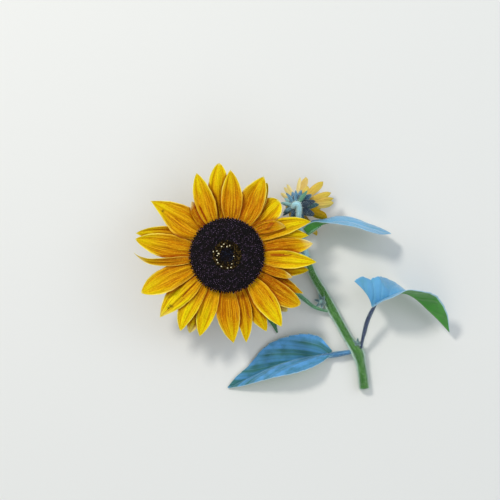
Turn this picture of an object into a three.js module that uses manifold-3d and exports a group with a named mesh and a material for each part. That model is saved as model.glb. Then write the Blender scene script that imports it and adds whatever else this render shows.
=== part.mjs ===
// The flowering top of a branching sunflower, as cut from the plant and laid on its back.
// Millimetres, +Z up. The large bloom faces straight up, and its axis is x = 0, y = 0 of the
// group; the whole group is then moved so that the middle of its underside is the origin.
import * as THREE from 'three';
import { mergeVertices } from 'three/addons/utils/BufferGeometryUtils.js';
import Module from 'manifold-3d';

const wasm = await Module();
wasm.setup();

// Driving dimensions
const GAP = 0.3; // between two pieces that meet
const STEM_SIDES = 10;

const DISK_RADIUS = 30.2;
const DISK_TOP = 45.2;
const DISK_SEAT_RADIUS = 26.4; // the disk's neck, inside the ring of ray petals
const RECEPTACLE_FLOOR = 17.5; // where the stalk ends
const RECEPTACLE_TOP = 34.2;
const RECEPTACLE_RADIUS = 27.2;

const PETAL_BASE_RADIUS = 26.9;
const PETAL_BASE_WIDTH = 4.6;
const PETAL_BASE_HEIGHT = 34.95; // lowest of the four tiers, at the petal's foot
const PETAL_TIER_STEP = 0.82; // from one tier to the next, at the foot
const PETAL_TIER_RISE = [-3.2, 0.4, 4.2, 8.2]; // how far each tier has risen at full reach
const PETAL_FULL_REACH = 73;
const PETAL_THICKNESS = 0.5;
const PETAL_RIB_THICKNESS = 0.62;
const PETAL_CUP = 0.16; // rise of the margins, for each unit of half width

const BRACT_LENGTH = 31;
const BRACT_WIDTH = 8.5;
const BRACT_THICKNESS = 0.9;
const BRACTS_IN_RING = 12;
const INNER_BRACTS = { start: [20.5, 28.4], slopes: [6, -4] }; // [radius, height], degrees
const OUTER_BRACTS = { start: [13.5, 23], slopes: [-24, -62] }; // their tips stand on the floor
const BRACT_CUP = 10; // degrees, both halves raised

const SIDE_BLOOM_CENTRE = new THREE.Vector3(58.4, 40.6, 23.9);
const SIDE_BLOOM_TILT = 27; // degrees away from facing straight down
const SIDE_BLOOM_HEADING = 15; // degrees, the side that it turns to
const SIDE_CALYX_DEPTH = 9;
const SIDE_CALYX_RADIUS = 9.2;
const SIDE_DISK_RADIUS = 7.4;
const SIDE_PETAL_REACH = 23.5;
const SIDE_PETAL_FORWARD = 14;
const SIDE_PETAL_WIDTH = 7;
const SIDE_BRACTS_IN_RING = 9;
const SIDE_BRACTS = [
  { start: [5.6, -5], length: 11, width: 5, slopes: [20, 42], thickness: 0.8 },
  { start: [4.4, -6.6], length: 11, width: 4.4, slopes: [4, 12], thickness: 0.8 },
];
// [azimuth of the petal as it lies, share of the full length]
const SIDE_PETALS = [
  [-168, 0.9],
  [-140, 0.9],
  [-110, 0.9],
  [-79, 1],
  [-42, 0.82],
  [-13, 0.85],
  [5, 1],
  [22, 1],
  [53, 1],
  [92, 1],
  [109, 0.93],
  [131, 0.74],
  [154, 0.85],
];

const LEAF_THICKNESS = 0.95;
const LEAF_RIB_THICKNESS = 1.7;

// Ray petals, counter-clockwise: azimuth in degrees at foot and tip, reach of the tip from the
// bloom's axis, greatest width, tier from the back (0) to the front (3), point of the tip from
// round (0) to sharp (1), and how far the tip droops.
const PETALS = [
  { from: 11, to: 8.8, reach: 69.5, width: 13.5, tier: 2, point: 0.2, droop: 2 },
  { from: 23, to: 13.8, reach: 67, width: 12, tier: 1, point: 0.6 },
  { from: 32.5, to: 21.8, reach: 72.6, width: 14.5, tier: 2, point: 0.4, droop: 1 },
  { from: 40, to: 26, reach: 51.6, width: 10.5, tier: 3, point: 0.2, droop: 1 },
  { from: 47.5, to: 42, reach: 59.4, width: 17, tier: 1, point: 0.1, droop: 4 },
  { from: 57, to: 60.2, reach: 66.2, width: 9, tier: 0, point: 0.5 },
  { from: 62, to: 65, reach: 69.3, width: 17.6, tier: 2, point: 0.55, droop: 1 },
  { from: 83, to: 88, reach: 68, width: 17.4, tier: 3, point: 0.65, droop: 1 },
  { from: 101, to: 95, reach: 74.2, width: 17.5, tier: 1, point: 0.15 },
  { from: 117, to: 111.5, reach: 69.4, width: 13, tier: 2, point: 0.6, droop: 1.5 },
  { from: 127, to: 125, reach: 51.5, width: 12, tier: 0, point: 0.4 },
  { from: 137, to: 145, reach: 74.8, width: 20, tier: 3, point: 0.95, widest: 0.34, droop: 2 },
  { from: 158, to: 166, reach: 74.9, width: 15, tier: 1, point: 0.6 },
  { from: 170, to: 170, reach: 74.1, width: 17, tier: 3, point: 0.5, droop: 1 },
  { from: 186.5, to: 179.2, reach: 73.9, width: 8, tier: 0, point: 0.9, twist: -75 },
  { from: 199, to: 203, reach: 74.6, width: 17.5, tier: 3, point: 0.4, droop: 1 },
  { from: 218, to: 222, reach: 71, width: 15.5, tier: 2, point: 0.5, droop: 1 },
  { from: 231, to: 238.3, reach: 71.2, width: 13, tier: 1, point: 0.55 },
  { from: 242, to: 244.5, reach: 67.4, width: 9, tier: 0, point: 0.4 },
  { from: 250, to: 253, reach: 68.1, width: 14.5, tier: 3, point: 0.6, droop: 1 },
  { from: 272, to: 275, reach: 70.2, width: 18.5, tier: 3, point: 0.65, droop: 1 },
  { from: 290, to: 283, reach: 71.4, width: 11.5, tier: 1, point: 0.6 },
  { from: 300, to: 298, reach: 68.2, width: 11.5, tier: 0, point: 0.5 },
  { from: 312, to: 308.8, reach: 71.4, width: 16, tier: 3, point: 0.55, droop: 1 },
  { from: 316.5, to: 316.5, reach: 63.8, width: 10, tier: 0, point: 0.4 },
  { from: 325, to: 325, reach: 70.9, width: 14, tier: 2, point: 0.3, droop: 1 },
  { from: 333.5, to: 336, reach: 67.6, width: 10.5, tier: 0, point: 0.85 },
  { from: 341, to: 341, reach: 54.9, width: 9, tier: 3, point: 0.2, droop: 2 },
  { from: 346, to: 350, reach: 66.2, width: 12, tier: 1, point: 0.6 },
  { from: 357, to: 356, reach: 71.4, width: 13.5, tier: 3, point: 0.6, droop: 1 },
];

const COLOURS = {
  petal: 0xe0a012,
  disk: 0x241a1a,
  bract: 0x3f6a45,
  stem: 0x5f8f4a,
  leaf: 0x5a94a0,
  bud: 0x4b7a78,
};

const plant = new THREE.Group();
const UP = new THREE.Vector3(0, 0, 1);
const vec = (p) => new THREE.Vector3(p[0], p[1], p[2]);
const rad = THREE.MathUtils.degToRad;
const lerp = THREE.MathUtils.lerp;
const smooth = (x) => THREE.MathUtils.smoothstep(x, 0, 1);

// A closed body from rings of the same even number of points; each end is closed by a strip.
function loft(rings) {
  const count = rings[0].length;
  const positions = rings.flat().flatMap((p) => [p.x, p.y, p.z]);
  const faces = [];
  for (let i = 0; i + 1 < rings.length; i += 1) {
    for (let j = 0; j < count; j += 1) {
      const a = i * count + j;
      const b = i * count + ((j + 1) % count);
      faces.push(a, b, b + count, a, b + count, a + count);
    }
  }
  const last = (rings.length - 1) * count;
  for (let j = 0; j < count / 2 - 1; j += 1) {
    const k = count - 1 - j;
    faces.push(j, k, k - 1);
    faces.push(last + j, last + k - 1, last + k);
    if (k - 1 > j + 1) {
      faces.push(j, k - 1, j + 1);
      faces.push(last + j, last + j + 1, last + k - 1);
    }
  }
  const geometry = new THREE.BufferGeometry();
  geometry.setAttribute('position', new THREE.Float32BufferAttribute(positions, 3));
  geometry.setIndex(faces);
  return volumeOf(geometry) < 0 ? turnedOut(geometry) : geometry;
}

function volumeOf(geometry) {
  const p = geometry.attributes.position;
  const index = geometry.index;
  let sum = 0;
  for (let i = 0; i < index.count; i += 3) {
    const a = new THREE.Vector3().fromBufferAttribute(p, index.getX(i));
    const b = new THREE.Vector3().fromBufferAttribute(p, index.getX(i + 1));
    const c = new THREE.Vector3().fromBufferAttribute(p, index.getX(i + 2));
    sum += a.dot(b.cross(c)) / 6;
  }
  return sum;
}

function turnedOut(geometry) {
  const index = Array.from(geometry.index.array);
  for (let i = 0; i < index.length; i += 3) {
    const first = index[i];
    index[i] = index[i + 1];
    index[i + 1] = first;
  }
  geometry.setIndex(index);
  return geometry;
}

// To the Boolean library and back
function solid(geometry) {
  const bare = geometry.clone();
  bare.deleteAttribute('normal');
  bare.deleteAttribute('uv');
  const merged = mergeVertices(bare, 1e-4);
  const mesh = new wasm.Mesh({
    numProp: 3,
    vertProperties: new Float32Array(merged.attributes.position.array),
    triVerts: new Uint32Array(merged.index.array),
  });
  return new wasm.Manifold(mesh);
}

function geometryOf(body) {
  const mesh = body.getMesh();
  const geometry = new THREE.BufferGeometry();
  geometry.setAttribute('position', new THREE.Float32BufferAttribute(mesh.vertProperties, 3));
  geometry.setIndex(Array.from(mesh.triVerts));
  return geometry;
}

const fused = (geometries) => geometryOf(geometries.map(solid).reduce((a, b) => a.add(b)));

// The first piece less the space of the others
function cutBy(geometry, cutters) {
  const start = solid(geometry);
  return geometryOf(cutters.map(solid).reduce((body, cutter) => body.subtract(cutter), start));
}

function addPiece(name, geometry, colour, roughness = 0.7) {
  geometry.computeVertexNormals();
  const material = new THREE.MeshStandardMaterial({ color: colour, roughness, metalness: 0 });
  const mesh = new THREE.Mesh(geometry, material);
  mesh.name = name;
  plant.add(mesh);
}

// Stems: a smooth route through hand-set places, each [x, y, z, radius]
function stem(places, steps, sides = STEM_SIDES, grow = 0) {
  const curve = new THREE.CatmullRomCurve3(places.map(vec), false, 'centripetal');
  const frames = curve.computeFrenetFrames(steps, false);
  const rings = [];
  for (let i = 0; i <= steps; i += 1) {
    const t = i / steps;
    const at = curve.getPointAt(t);
    const along = curve.getUtoTmapping(t) * (places.length - 1);
    const low = Math.min(Math.floor(along), places.length - 2);
    const radius = lerp(places[low][3], places[low + 1][3], smooth(along - low)) + grow;
    const ring = [];
    for (let j = 0; j < sides; j += 1) {
      const angle = (2 * Math.PI * j) / sides;
      ring.push(at.clone()
        .addScaledVector(frames.normals[i], radius * Math.cos(angle))
        .addScaledVector(frames.binormals[i], radius * Math.sin(angle)));
    }
    rings.push(ring);
  }
  return loft(rings);
}

// Blades: one section has a rib and two halves, each half its own vector out from the rib
function bladeSection(at, along, left, right, edge, rib) {
  const leftNormal = along.clone().cross(left).normalize();
  const rightNormal = right.clone().cross(along).normalize();
  const ribNormal = leftNormal.clone().add(rightNormal).normalize();
  const place = (out, normal, offset) => at.clone().add(out).addScaledVector(normal, offset);
  const none = new THREE.Vector3();
  return [
    place(left, leftNormal, edge / 2),
    place(none, ribNormal, rib / 2),
    place(right, rightNormal, edge / 2),
    place(right, rightNormal, -edge / 2),
    place(none, ribNormal, -rib / 2),
    place(left, leftNormal, -edge / 2),
  ];
}

// A half points out level at an angle of 0, straight up at 90
function halfVector(along, side, angle, width) {
  const level = UP.clone().cross(along).normalize().multiplyScalar(side);
  const raised = level.multiplyScalar(Math.cos(rad(angle)));
  raised.addScaledVector(UP, Math.sin(rad(angle)));
  return raised.multiplyScalar(width);
}

// Share of a petal's width from its foot (0) to its tip (1)
function petalOutline(s, foot, widest, point) {
  if (s < widest) return lerp(foot, 1, Math.sin((Math.PI / 2) * (s / widest) ** 0.9));
  const over = (s - widest) / (1 - widest);
  return Math.max(0.07, (1 - over ** lerp(2.7, 1.3, point)) ** lerp(0.6, 1.1, point));
}

const PETAL_STATIONS = [0, 0.09, 0.22, 0.38, 0.54, 0.7, 0.83, 0.93, 1];

function rayPetal({ from, to, reach, width, tier, point, droop = 0, widest = 0.46, twist = 0 }) {
  const foot = PETAL_BASE_HEIGHT + tier * PETAL_TIER_STEP;
  const placeAt = (s) => {
    const radius = lerp(PETAL_BASE_RADIUS, reach, s);
    const azimuth = rad(lerp(from, to, s ** 1.3));
    const outward = (radius - PETAL_BASE_RADIUS) / (PETAL_FULL_REACH - PETAL_BASE_RADIUS);
    const height = foot + PETAL_TIER_RISE[tier] * outward ** 1.25 - droop * s ** 5;
    return new THREE.Vector3(radius * Math.cos(azimuth), radius * Math.sin(azimuth), height);
  };
  const sections = PETAL_STATIONS.map((s) => {
    const at = placeAt(s);
    const along = placeAt(Math.min(s + 0.01, 1)).sub(placeAt(Math.max(s - 0.01, 0))).normalize();
    const half = (width / 2) * petalOutline(s, PETAL_BASE_WIDTH / width, widest, point);
    const cup = (180 / Math.PI) * PETAL_CUP * smooth(s / 0.4);
    const roll = twist * smooth((s - 0.1) / 0.3);
    const left = halfVector(along, 1, cup + roll, half);
    const right = halfVector(along, -1, cup - roll, half);
    return bladeSection(at, along, left, right, PETAL_THICKNESS, PETAL_RIB_THICKNESS);
  });
  return loft(sections);
}

// Turned about +Z from a profile of [radius, height] that starts and ends on the axis
function turned(profile, segments) {
  const geometry = new THREE.LatheGeometry(profile.map((p) => new THREE.Vector2(p[0], p[1])), segments);
  geometry.rotateX(Math.PI / 2);
  const bare = geometry.clone();
  bare.deleteAttribute('normal');
  bare.deleteAttribute('uv');
  const merged = mergeVertices(bare, 1e-4);
  return volumeOf(merged) < 0 ? turnedOut(merged) : merged;
}

// A pointed bract along a bend: it leaves at one slope and ends at another
const bractOutline = (s) => 1 - 0.9 * s ** 1.6;

const BRACT_STATIONS = [0, 0.3, 0.62, 0.86, 1];

function bract(azimuth, { start, length, width, slopes, thickness, outline = bractOutline }) {
  const side = rad(azimuth);
  const sections = [];
  let radius = start[0];
  let height = start[1];
  BRACT_STATIONS.forEach((s, i) => {
    const slope = rad(lerp(slopes[0], slopes[1], smooth(s)));
    const step = i === 0 ? 0 : length * (s - BRACT_STATIONS[i - 1]);
    radius += step * Math.cos(slope);
    height += step * Math.sin(slope);
    const at = new THREE.Vector3(radius * Math.cos(side), radius * Math.sin(side), height);
    const along = new THREE.Vector3(
      Math.cos(slope) * Math.cos(side),
      Math.cos(slope) * Math.sin(side),
      Math.sin(slope),
    );
    const half = (width / 2) * outline(s);
    const left = halfVector(along, 1, BRACT_CUP, half);
    const right = halfVector(along, -1, BRACT_CUP, half);
    sections.push(bladeSection(at, along, left, right, thickness * 0.8, thickness));
  });
  return loft(sections);
}

// The main stem, from the flat cut to the fork, and the two stalks that leave the fork
const MAIN_STEM = [
  [112.3, -109.8, 4.1, 3.9],
  [109.8, -91.6, 4.3, 3.8],
  [106.8, -80, 5.4, 5.1],
  [101.1, -68.5, 4.7, 3.6],
  [93.9, -55.9, 4.1, 3.5],
  [87, -45.2, 4.3, 4],
  [78.4, -31.1, 3.9, 3.4],
  [70.2, -17, 4.6, 3.1],
  [64.6, -1.5, 7.6, 2.7],
];
const SIDE_STALK = [
  [64.5, -1.1, 7.75, 2.7],
  [61.6, 9.8, 14, 2.4],
  [59.6, 20.5, 24.3, 2.1],
  [58.2, 30, 32, 2],
  [58.2, 36.4, 36, 1.9],
  [56.7, 40.2, 38.7, 1.85],
  [53.9, 40, 37.3, 1.85],
  [53.2, 39.2, 34.4, 1.9],
  [54.3, 39.5, 32.2, 2.1],
];
const BLOOM_STALK = [
  [64.3, -3, 7.2, 1.9],
  [60, -2.8, 6.6, 2.7],
  [52.8, -1.8, 5.6, 3.1],
  [36.4, -0.9, 3.7, 3.2],
  [18, 0, 3.3, 3.2],
  [6.7, 0.6, 5.4, 3.3],
  [1, 0.3, 10.8, 3.5],
  [0, 0, 14.6, 3.9],
  [0, 0, RECEPTACLE_FLOOR - GAP, 4.6],
];
const STEM_STEPS = 22;
const STALK_STEPS = 20;

const mainStem = stem(MAIN_STEM, STEM_STEPS);
const mainStemSpace = stem(MAIN_STEM, STEM_STEPS, STEM_SIDES, GAP);
const sideStalkSpace = stem(SIDE_STALK, STALK_STEPS, STEM_SIDES, GAP);
addPiece('main_stem', mainStem, COLOURS.stem);
addPiece('side_stalk', cutBy(stem(SIDE_STALK, STALK_STEPS), [mainStemSpace]), COLOURS.stem);
addPiece(
  'bloom_stalk',
  cutBy(stem(BLOOM_STALK, STALK_STEPS), [mainStemSpace, sideStalkSpace]),
  COLOURS.stem,
);

// The large bloom
const DISK_PROFILE = [
  [0, RECEPTACLE_TOP + GAP],
  [DISK_SEAT_RADIUS - 0.2, RECEPTACLE_TOP + GAP],
  [DISK_SEAT_RADIUS, 38.4],
  [29.4, 39.2],
  [DISK_RADIUS, 40.8],
  [29.2, 42.8],
  [25.4, 44.5],
  [18, DISK_TOP],
  [9, 44.6],
  [0, 44],
];
addPiece('main_bloom_disk', turned(DISK_PROFILE, 36), COLOURS.disk, 0.9);

const RECEPTACLE_PROFILE = [
  [0, RECEPTACLE_FLOOR],
  [4.8, RECEPTACLE_FLOOR],
  [8, 18.8],
  [15, 21.8],
  [21.5, 26.4],
  [26, 31.2],
  [RECEPTACLE_RADIUS, RECEPTACLE_TOP],
  [0, RECEPTACLE_TOP],
];

const MAIN_BRACT = { length: BRACT_LENGTH, width: BRACT_WIDTH, thickness: BRACT_THICKNESS };

function mainCalyx() {
  const parts = [turned(RECEPTACLE_PROFILE, 26)];
  for (let i = 0; i < BRACTS_IN_RING; i += 1) {
    const turn = 360 / BRACTS_IN_RING;
    parts.push(bract(i * turn, { ...MAIN_BRACT, ...INNER_BRACTS }));
    parts.push(bract((i + 0.5) * turn, { ...MAIN_BRACT, ...OUTER_BRACTS }));
  }
  return fused(parts);
}
addPiece('main_bloom_calyx', mainCalyx(), COLOURS.bract);

PETALS.forEach((petal, i) => {
  const name = `ray_petal_${String(i + 1).padStart(2, '0')}`;
  addPiece(name, rayPetal(petal), COLOURS.petal, 0.55);
});

// The small bloom, seen from behind: built facing +Z about its own middle, then turned over
const sideBloomPlace = new THREE.Matrix4();
{
  const tilt = rad(SIDE_BLOOM_TILT);
  const heading = rad(SIDE_BLOOM_HEADING);
  const axis = new THREE.Vector3(
    Math.sin(tilt) * Math.cos(heading),
    Math.sin(tilt) * Math.sin(heading),
    -Math.cos(tilt),
  );
  const turn = new THREE.Quaternion().setFromUnitVectors(UP, axis);
  sideBloomPlace.compose(SIDE_BLOOM_CENTRE, turn, new THREE.Vector3(1, 1, 1));
}

const SIDE_BOWL_PROFILE = [
  [0, -SIDE_CALYX_DEPTH],
  [2.4, -SIDE_CALYX_DEPTH],
  [5.2, -7.6],
  [8.2, -4.2],
  [SIDE_CALYX_RADIUS, 0],
  [0, 0],
];
const SIDE_DISK_PROFILE = [
  [0, GAP],
  [SIDE_DISK_RADIUS, GAP],
  [SIDE_DISK_RADIUS, 3],
  [5.4, 4.6],
  [0, 5.2],
];
const SIDE_RING_PROFILE = [
  [SIDE_DISK_RADIUS + GAP, GAP],
  [SIDE_CALYX_RADIUS, GAP],
  [SIDE_CALYX_RADIUS, 1.5],
  [SIDE_DISK_RADIUS + GAP, 1.5],
  [SIDE_DISK_RADIUS + GAP, GAP],
];

function sideCalyx() {
  const parts = [turned(SIDE_BOWL_PROFILE, 16)];
  for (let i = 0; i < SIDE_BRACTS_IN_RING; i += 1) {
    const turn = 360 / SIDE_BRACTS_IN_RING;
    SIDE_BRACTS.forEach((sizes, ring) => parts.push(bract((i + ring / 2) * turn, sizes)));
  }
  return fused(parts);
}

function sideRays() {
  const parts = [turned(SIDE_RING_PROFILE, 26)];
  const out = SIDE_PETAL_REACH - SIDE_CALYX_RADIUS;
  const slope = THREE.MathUtils.radToDeg(Math.atan2(SIDE_PETAL_FORWARD, out));
  const sizes = {
    start: [SIDE_CALYX_RADIUS - 0.9, 0.9],
    width: SIDE_PETAL_WIDTH,
    slopes: [slope - 4, slope + 4],
    thickness: 0.7,
    outline: (s) => petalOutline(s, 0.5, 0.45, 0.7),
  };
  for (const [azimuth, share] of SIDE_PETALS) {
    const turnedOver = 2 * (SIDE_BLOOM_HEADING + 90) - azimuth;
    const length = share * Math.hypot(out, SIDE_PETAL_FORWARD);
    parts.push(bract(turnedOver, { ...sizes, length }));
  }
  return fused(parts);
}

addPiece('side_bloom_calyx', sideCalyx().applyMatrix4(sideBloomPlace), COLOURS.bract);
addPiece('side_bloom_rays', sideRays().applyMatrix4(sideBloomPlace), COLOURS.petal, 0.55);
addPiece('side_bloom_disk', turned(SIDE_DISK_PROFILE, 18).applyMatrix4(sideBloomPlace), COLOURS.disk, 0.9);

// Leaves: a stalk, then a blade whose halves are folded each at its own angle.
// Each rib place is [x, y, z, left width, left angle, right width, right angle].
const LEAVES = {
  leaf_lower_left: {
    stalk: [
      [103, -80, 5.4, 2.4],
      [97, -80, 5.4, 2.5],
      [90, -80.4, 4.6, 2.4],
      [83, -81.6, 3.6, 1.9],
      [74, -84, 2.6, 1],
    ],
    rib: [
      [85, -81.1, 4.2, 3, 80, 2, 20],
      [77, -83.2, 3, 10, 84, 13, 12],
      [67, -85.6, 2.2, 17, 88, 21, 8],
      [54, -88, 1.8, 20, 88, 21.5, 6],
      [39, -92.2, 1.5, 19, 84, 19, 5],
      [22, -99.5, 1.3, 12, 78, 10, 4],
      [9, -105.4, 1.2, 5.5, 74, 5.5, 4],
      [0, -109.5, 1.2, 0.6, 70, 0.6, 4],
    ],
  },
  leaf_right: {
    stalk: [
      [109, -77, 7.2, 1.9],
      [110.6, -71.5, 10, 1.7],
      [111.3, -62.4, 14, 1.6],
      [113.4, -54, 18.2, 1.6],
      [117, -45.7, 21.2, 1.6],
      [120.6, -38.8, 22.4, 0.9],
    ],
    rib: [
      [118, -41.5, 22.2, 26.6, 10, 7, 90],
      [121.8, -38.8, 22.6, 23.5, 4, 13, 90],
      [126.6, -35.6, 22.8, 21, -8, 18, 90],
      [134, -32.2, 22.8, 20, -48, 20, 92],
      [143, -30.8, 22, 19, -80, 20, 95],
      [152, -33.4, 20.4, 17, -84, 19, 103],
      [162, -40.5, 17.5, 13, -80, 16, 118],
      [173, -50.6, 13.4, 7.5, -70, 9.5, 118],
      [182, -61.6, 9, 0.6, -60, 0.6, 115],
    ],
  },
  leaf_upper_right: {
    stalk: [
      [60.5, 14.6, 18.2, 1.5],
      [63.4, 17.2, 19.4, 1.6],
      [68, 21, 21, 1.5],
      [75, 25.4, 23, 0.9],
    ],
    rib: [
      [66, 19.4, 20.4, 2.4, -60, 3.4, 118],
      [71.5, 23.4, 22.4, 4, -80, 6, 124],
      [79, 27.2, 24, 7, -82, 9, 100],
      [89, 28.7, 23.6, 12.5, -75, 12.5, 77],
      [100, 27.6, 22.6, 13, -74, 13, 75],
      [112, 24.4, 20.8, 10.5, -73, 10.5, 75],
      [124, 20.2, 18.4, 5.5, -72, 5.5, 76],
      [133, 17.3, 16, 0.6, -72, 0.6, 76],
    ],
  },
  leaf_behind_bloom: {
    stalk: [
      [84.5, -45.4, 4.6, 1.5],
      [77, -44.6, 5.6, 1.4],
      [70.1, -42.4, 6.4, 1.35],
      [59.3, -34.6, 7.6, 1.35],
      [51.5, -29.8, 7.8, 1.3],
      [44.5, -33, 6, 0.8],
    ],
    rib: [
      [49.6, -29.4, 7.6, 4, 16, 6, 16],
      [44.6, -32.6, 6.2, 6.5, 12, 11, 12],
      [40, -39, 4.4, 7.5, 10, 13, 10],
      [37.4, -47, 2.6, 6.5, 8, 11, 8],
      [36.8, -54.5, 1.5, 3.6, 6, 6, 6],
      [37, -61, 0.9, 0.6, 0, 0.6, 0],
    ],
  },
};

function leafBlade(rib) {
  const curve = new THREE.CatmullRomCurve3(rib.map(vec), false, 'centripetal');
  const sections = rib.map((place, i) => {
    const [, , , leftWidth, leftAngle, rightWidth, rightAngle] = place;
    const along = curve.getTangent(i / (rib.length - 1));
    const left = halfVector(along, 1, leftAngle, leftWidth);
    const right = halfVector(along, -1, rightAngle, rightWidth);
    return bladeSection(vec(place), along, left, right, LEAF_THICKNESS, LEAF_RIB_THICKNESS);
  });
  return loft(sections);
}

const LEAF_CARRIERS = [mainStemSpace, sideStalkSpace];
for (const [name, { stalk, rib }] of Object.entries(LEAVES)) {
  const leaf = fused([stem(stalk, 10, 8), leafBlade(rib)]);
  addPiece(name, cutBy(leaf, LEAF_CARRIERS), COLOURS.leaf);
}

// Young shoots in two of the axils: leaflets that fan out of a short core
const SHOOTS = {
  shoot_middle: { at: [78.4, -37.6, 7.4], heading: 165, lift: 24, length: 11, leaflets: 6 },
  shoot_lower: { at: [105, -72.8, 9.4], heading: 100, lift: 50, length: 5.5, leaflets: 5 },
};

const SHOOT_CORE_PROFILE = [[0, -0.45], [0.16, -0.35], [0.17, 0.1], [0, 0.3]]; // shares of the length

function shoot({ at, heading, lift, length, leaflets }) {
  const turn = new THREE.Euler(0, 0, rad(heading), 'ZYX');
  const place = new THREE.Matrix4().makeRotationFromEuler(turn);
  place.multiply(new THREE.Matrix4().makeRotationY(rad(90 - lift)));
  place.setPosition(vec(at));
  const core = SHOOT_CORE_PROFILE.map(([radius, height]) => [radius * length, height * length]);
  const leaflet = {
    start: [length * 0.05, -length * 0.1],
    length: length * 0.72,
    width: length * 0.36,
    slopes: [38, 66],
    thickness: 0.7,
  };
  const parts = [turned(core, 8)];
  for (let i = 0; i < leaflets; i += 1) parts.push(bract((i * 360) / leaflets, leaflet));
  return fused(parts).applyMatrix4(place);
}

for (const [name, sizes] of Object.entries(SHOOTS)) {
  addPiece(name, cutBy(shoot(sizes), [mainStemSpace]), COLOURS.bud);
}

// The origin is the middle of the underside of the whole
plant.updateMatrixWorld(true);
const bounds = new THREE.Box3().setFromObject(plant, true);
const middle = bounds.getCenter(new THREE.Vector3());
plant.position.set(-middle.x, -middle.y, -bounds.min.z);

export default plant;
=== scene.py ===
import math

import bpy
import numpy as np
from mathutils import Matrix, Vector


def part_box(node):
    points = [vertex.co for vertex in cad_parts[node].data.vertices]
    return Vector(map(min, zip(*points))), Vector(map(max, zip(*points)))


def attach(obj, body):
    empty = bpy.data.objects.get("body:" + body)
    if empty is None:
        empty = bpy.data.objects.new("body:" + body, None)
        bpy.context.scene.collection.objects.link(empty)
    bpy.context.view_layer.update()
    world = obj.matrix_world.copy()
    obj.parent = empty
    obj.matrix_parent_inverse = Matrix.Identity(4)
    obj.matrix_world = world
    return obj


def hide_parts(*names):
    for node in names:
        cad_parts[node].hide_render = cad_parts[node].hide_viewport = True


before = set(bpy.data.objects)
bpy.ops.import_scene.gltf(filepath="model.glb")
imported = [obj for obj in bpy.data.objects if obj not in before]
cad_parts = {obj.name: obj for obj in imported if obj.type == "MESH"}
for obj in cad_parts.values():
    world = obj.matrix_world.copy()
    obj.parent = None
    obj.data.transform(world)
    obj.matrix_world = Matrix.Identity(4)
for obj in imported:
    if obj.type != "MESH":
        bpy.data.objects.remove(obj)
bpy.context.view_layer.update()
print("frame:", len(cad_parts), "nodes")

diskTop = 45.2  # height of the large disk over the floor
diskLow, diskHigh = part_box("main_bloom_disk")
bloomAxis = np.array([
    (diskLow.x + diskHigh.x) / 2,
    (diskLow.y + diskHigh.y) / 2,
    diskHigh.z - diskTop * 0.001,
])
up = np.array([0.0, 0.0, 1.0])
goldenAngle = math.pi * (3 - math.sqrt(5))


def toFrame(points):
    return np.asarray(points, float) * 0.001 + bloomAxis


def smooth(x):
    x = np.clip(x, 0, 1)
    return x * x * (3 - 2 * x)


def mix(a, b, t):
    return a + (b - a) * t


def unit(v):
    return v / np.maximum(np.linalg.norm(v, axis=-1, keepdims=True), 1e-12)


def paint(red, green, blue):  # a colour as it is seen, 0 to 255, made linear
    seen = [red / 255, green / 255, blue / 255]
    return tuple(c / 12.92 if c < 0.04045 else ((c + 0.055) / 1.055) ** 2.4 for c in seen) + (1.0,)


# Shapes: a part is a dictionary of points, faces, a flow map and values, and a piece joins parts

def makePiece(name, parts, materials):
    points, faces, slots, flow = [], [], [], []
    keys = sorted({key for part in parts for key in part["values"]})
    values = {key: [] for key in keys}
    start = 0
    for part in parts:
        count = len(part["points"])
        points.append(part["points"])
        faces.extend(tuple(int(v) + start for v in face) for face in part["faces"])
        slots.extend(part["slots"])
        flow.append(part["flow"])
        for key in keys:
            values[key].append(part["values"].get(key, np.zeros(count)))
        start += count
    mesh = bpy.data.meshes.new(name)
    mesh.from_pydata(toFrame(np.concatenate(points)).tolist(), [], faces)
    corners = np.empty(len(mesh.loops), np.int32)
    mesh.loops.foreach_get("vertex_index", corners)
    layer = mesh.uv_layers.new(name="flow")
    layer.uv.foreach_set("vector", np.concatenate(flow).astype(np.float32)[corners].ravel())
    for key in keys:
        attribute = mesh.attributes.new(key, "FLOAT", "POINT")
        attribute.data.foreach_set("value", np.concatenate(values[key]).astype(np.float32))
    for material in materials:
        mesh.materials.append(material)
    mesh.polygons.foreach_set("material_index", np.array(slots, np.int32))
    mesh.shade_smooth()
    piece = bpy.data.objects.new(name, mesh)
    bpy.context.scene.collection.objects.link(piece)
    return piece


def finishPiece(piece, slot, *nodes):
    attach(piece, "root")
    if nodes:
        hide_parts(*nodes)


def makePart(points, faces, flow, slots, values=None):
    return {
        "points": np.asarray(points, float),
        "faces": faces,
        "flow": np.asarray(flow, float),
        "slots": slots,
        "values": values or {},
    }


# A closed blade round a grid of points: rows run along it, columns from its right edge to its left
def bladePart(grid, thickness, flow, values):
    rows, columns = grid.shape[:2]
    normal = unit(np.cross(np.gradient(grid, axis=0), np.gradient(grid, axis=1)))
    half = np.broadcast_to(np.asarray(thickness, float), (rows, columns))[..., None] / 2
    points = np.concatenate([(grid + normal * half).reshape(-1, 3), (grid - normal * half).reshape(-1, 3)])
    index = np.arange(rows * columns).reshape(rows, columns)
    a, b, c, d = index[:-1, :-1], index[1:, :-1], index[1:, 1:], index[:-1, 1:]
    top = np.stack([a, b, c, d], -1).reshape(-1, 4)
    bottom = top[:, ::-1] + rows * columns
    loop = np.concatenate([index[:-1, 0], index[-1, :-1], index[:0:-1, -1], index[0, :0:-1]])
    after = np.roll(loop, -1)
    rim = np.stack([loop + rows * columns, after + rows * columns, after, loop], -1)
    faces = np.concatenate([top, bottom, rim]).tolist()
    both = {key: np.tile(np.broadcast_to(v, (rows, columns)).ravel(), 2) for key, v in values.items()}
    both["upper"] = np.repeat([1.0, 0.0], rows * columns)
    return makePart(points, faces, np.tile(flow.reshape(-1, 2), (2, 1)), [0] * len(faces), both)


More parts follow.
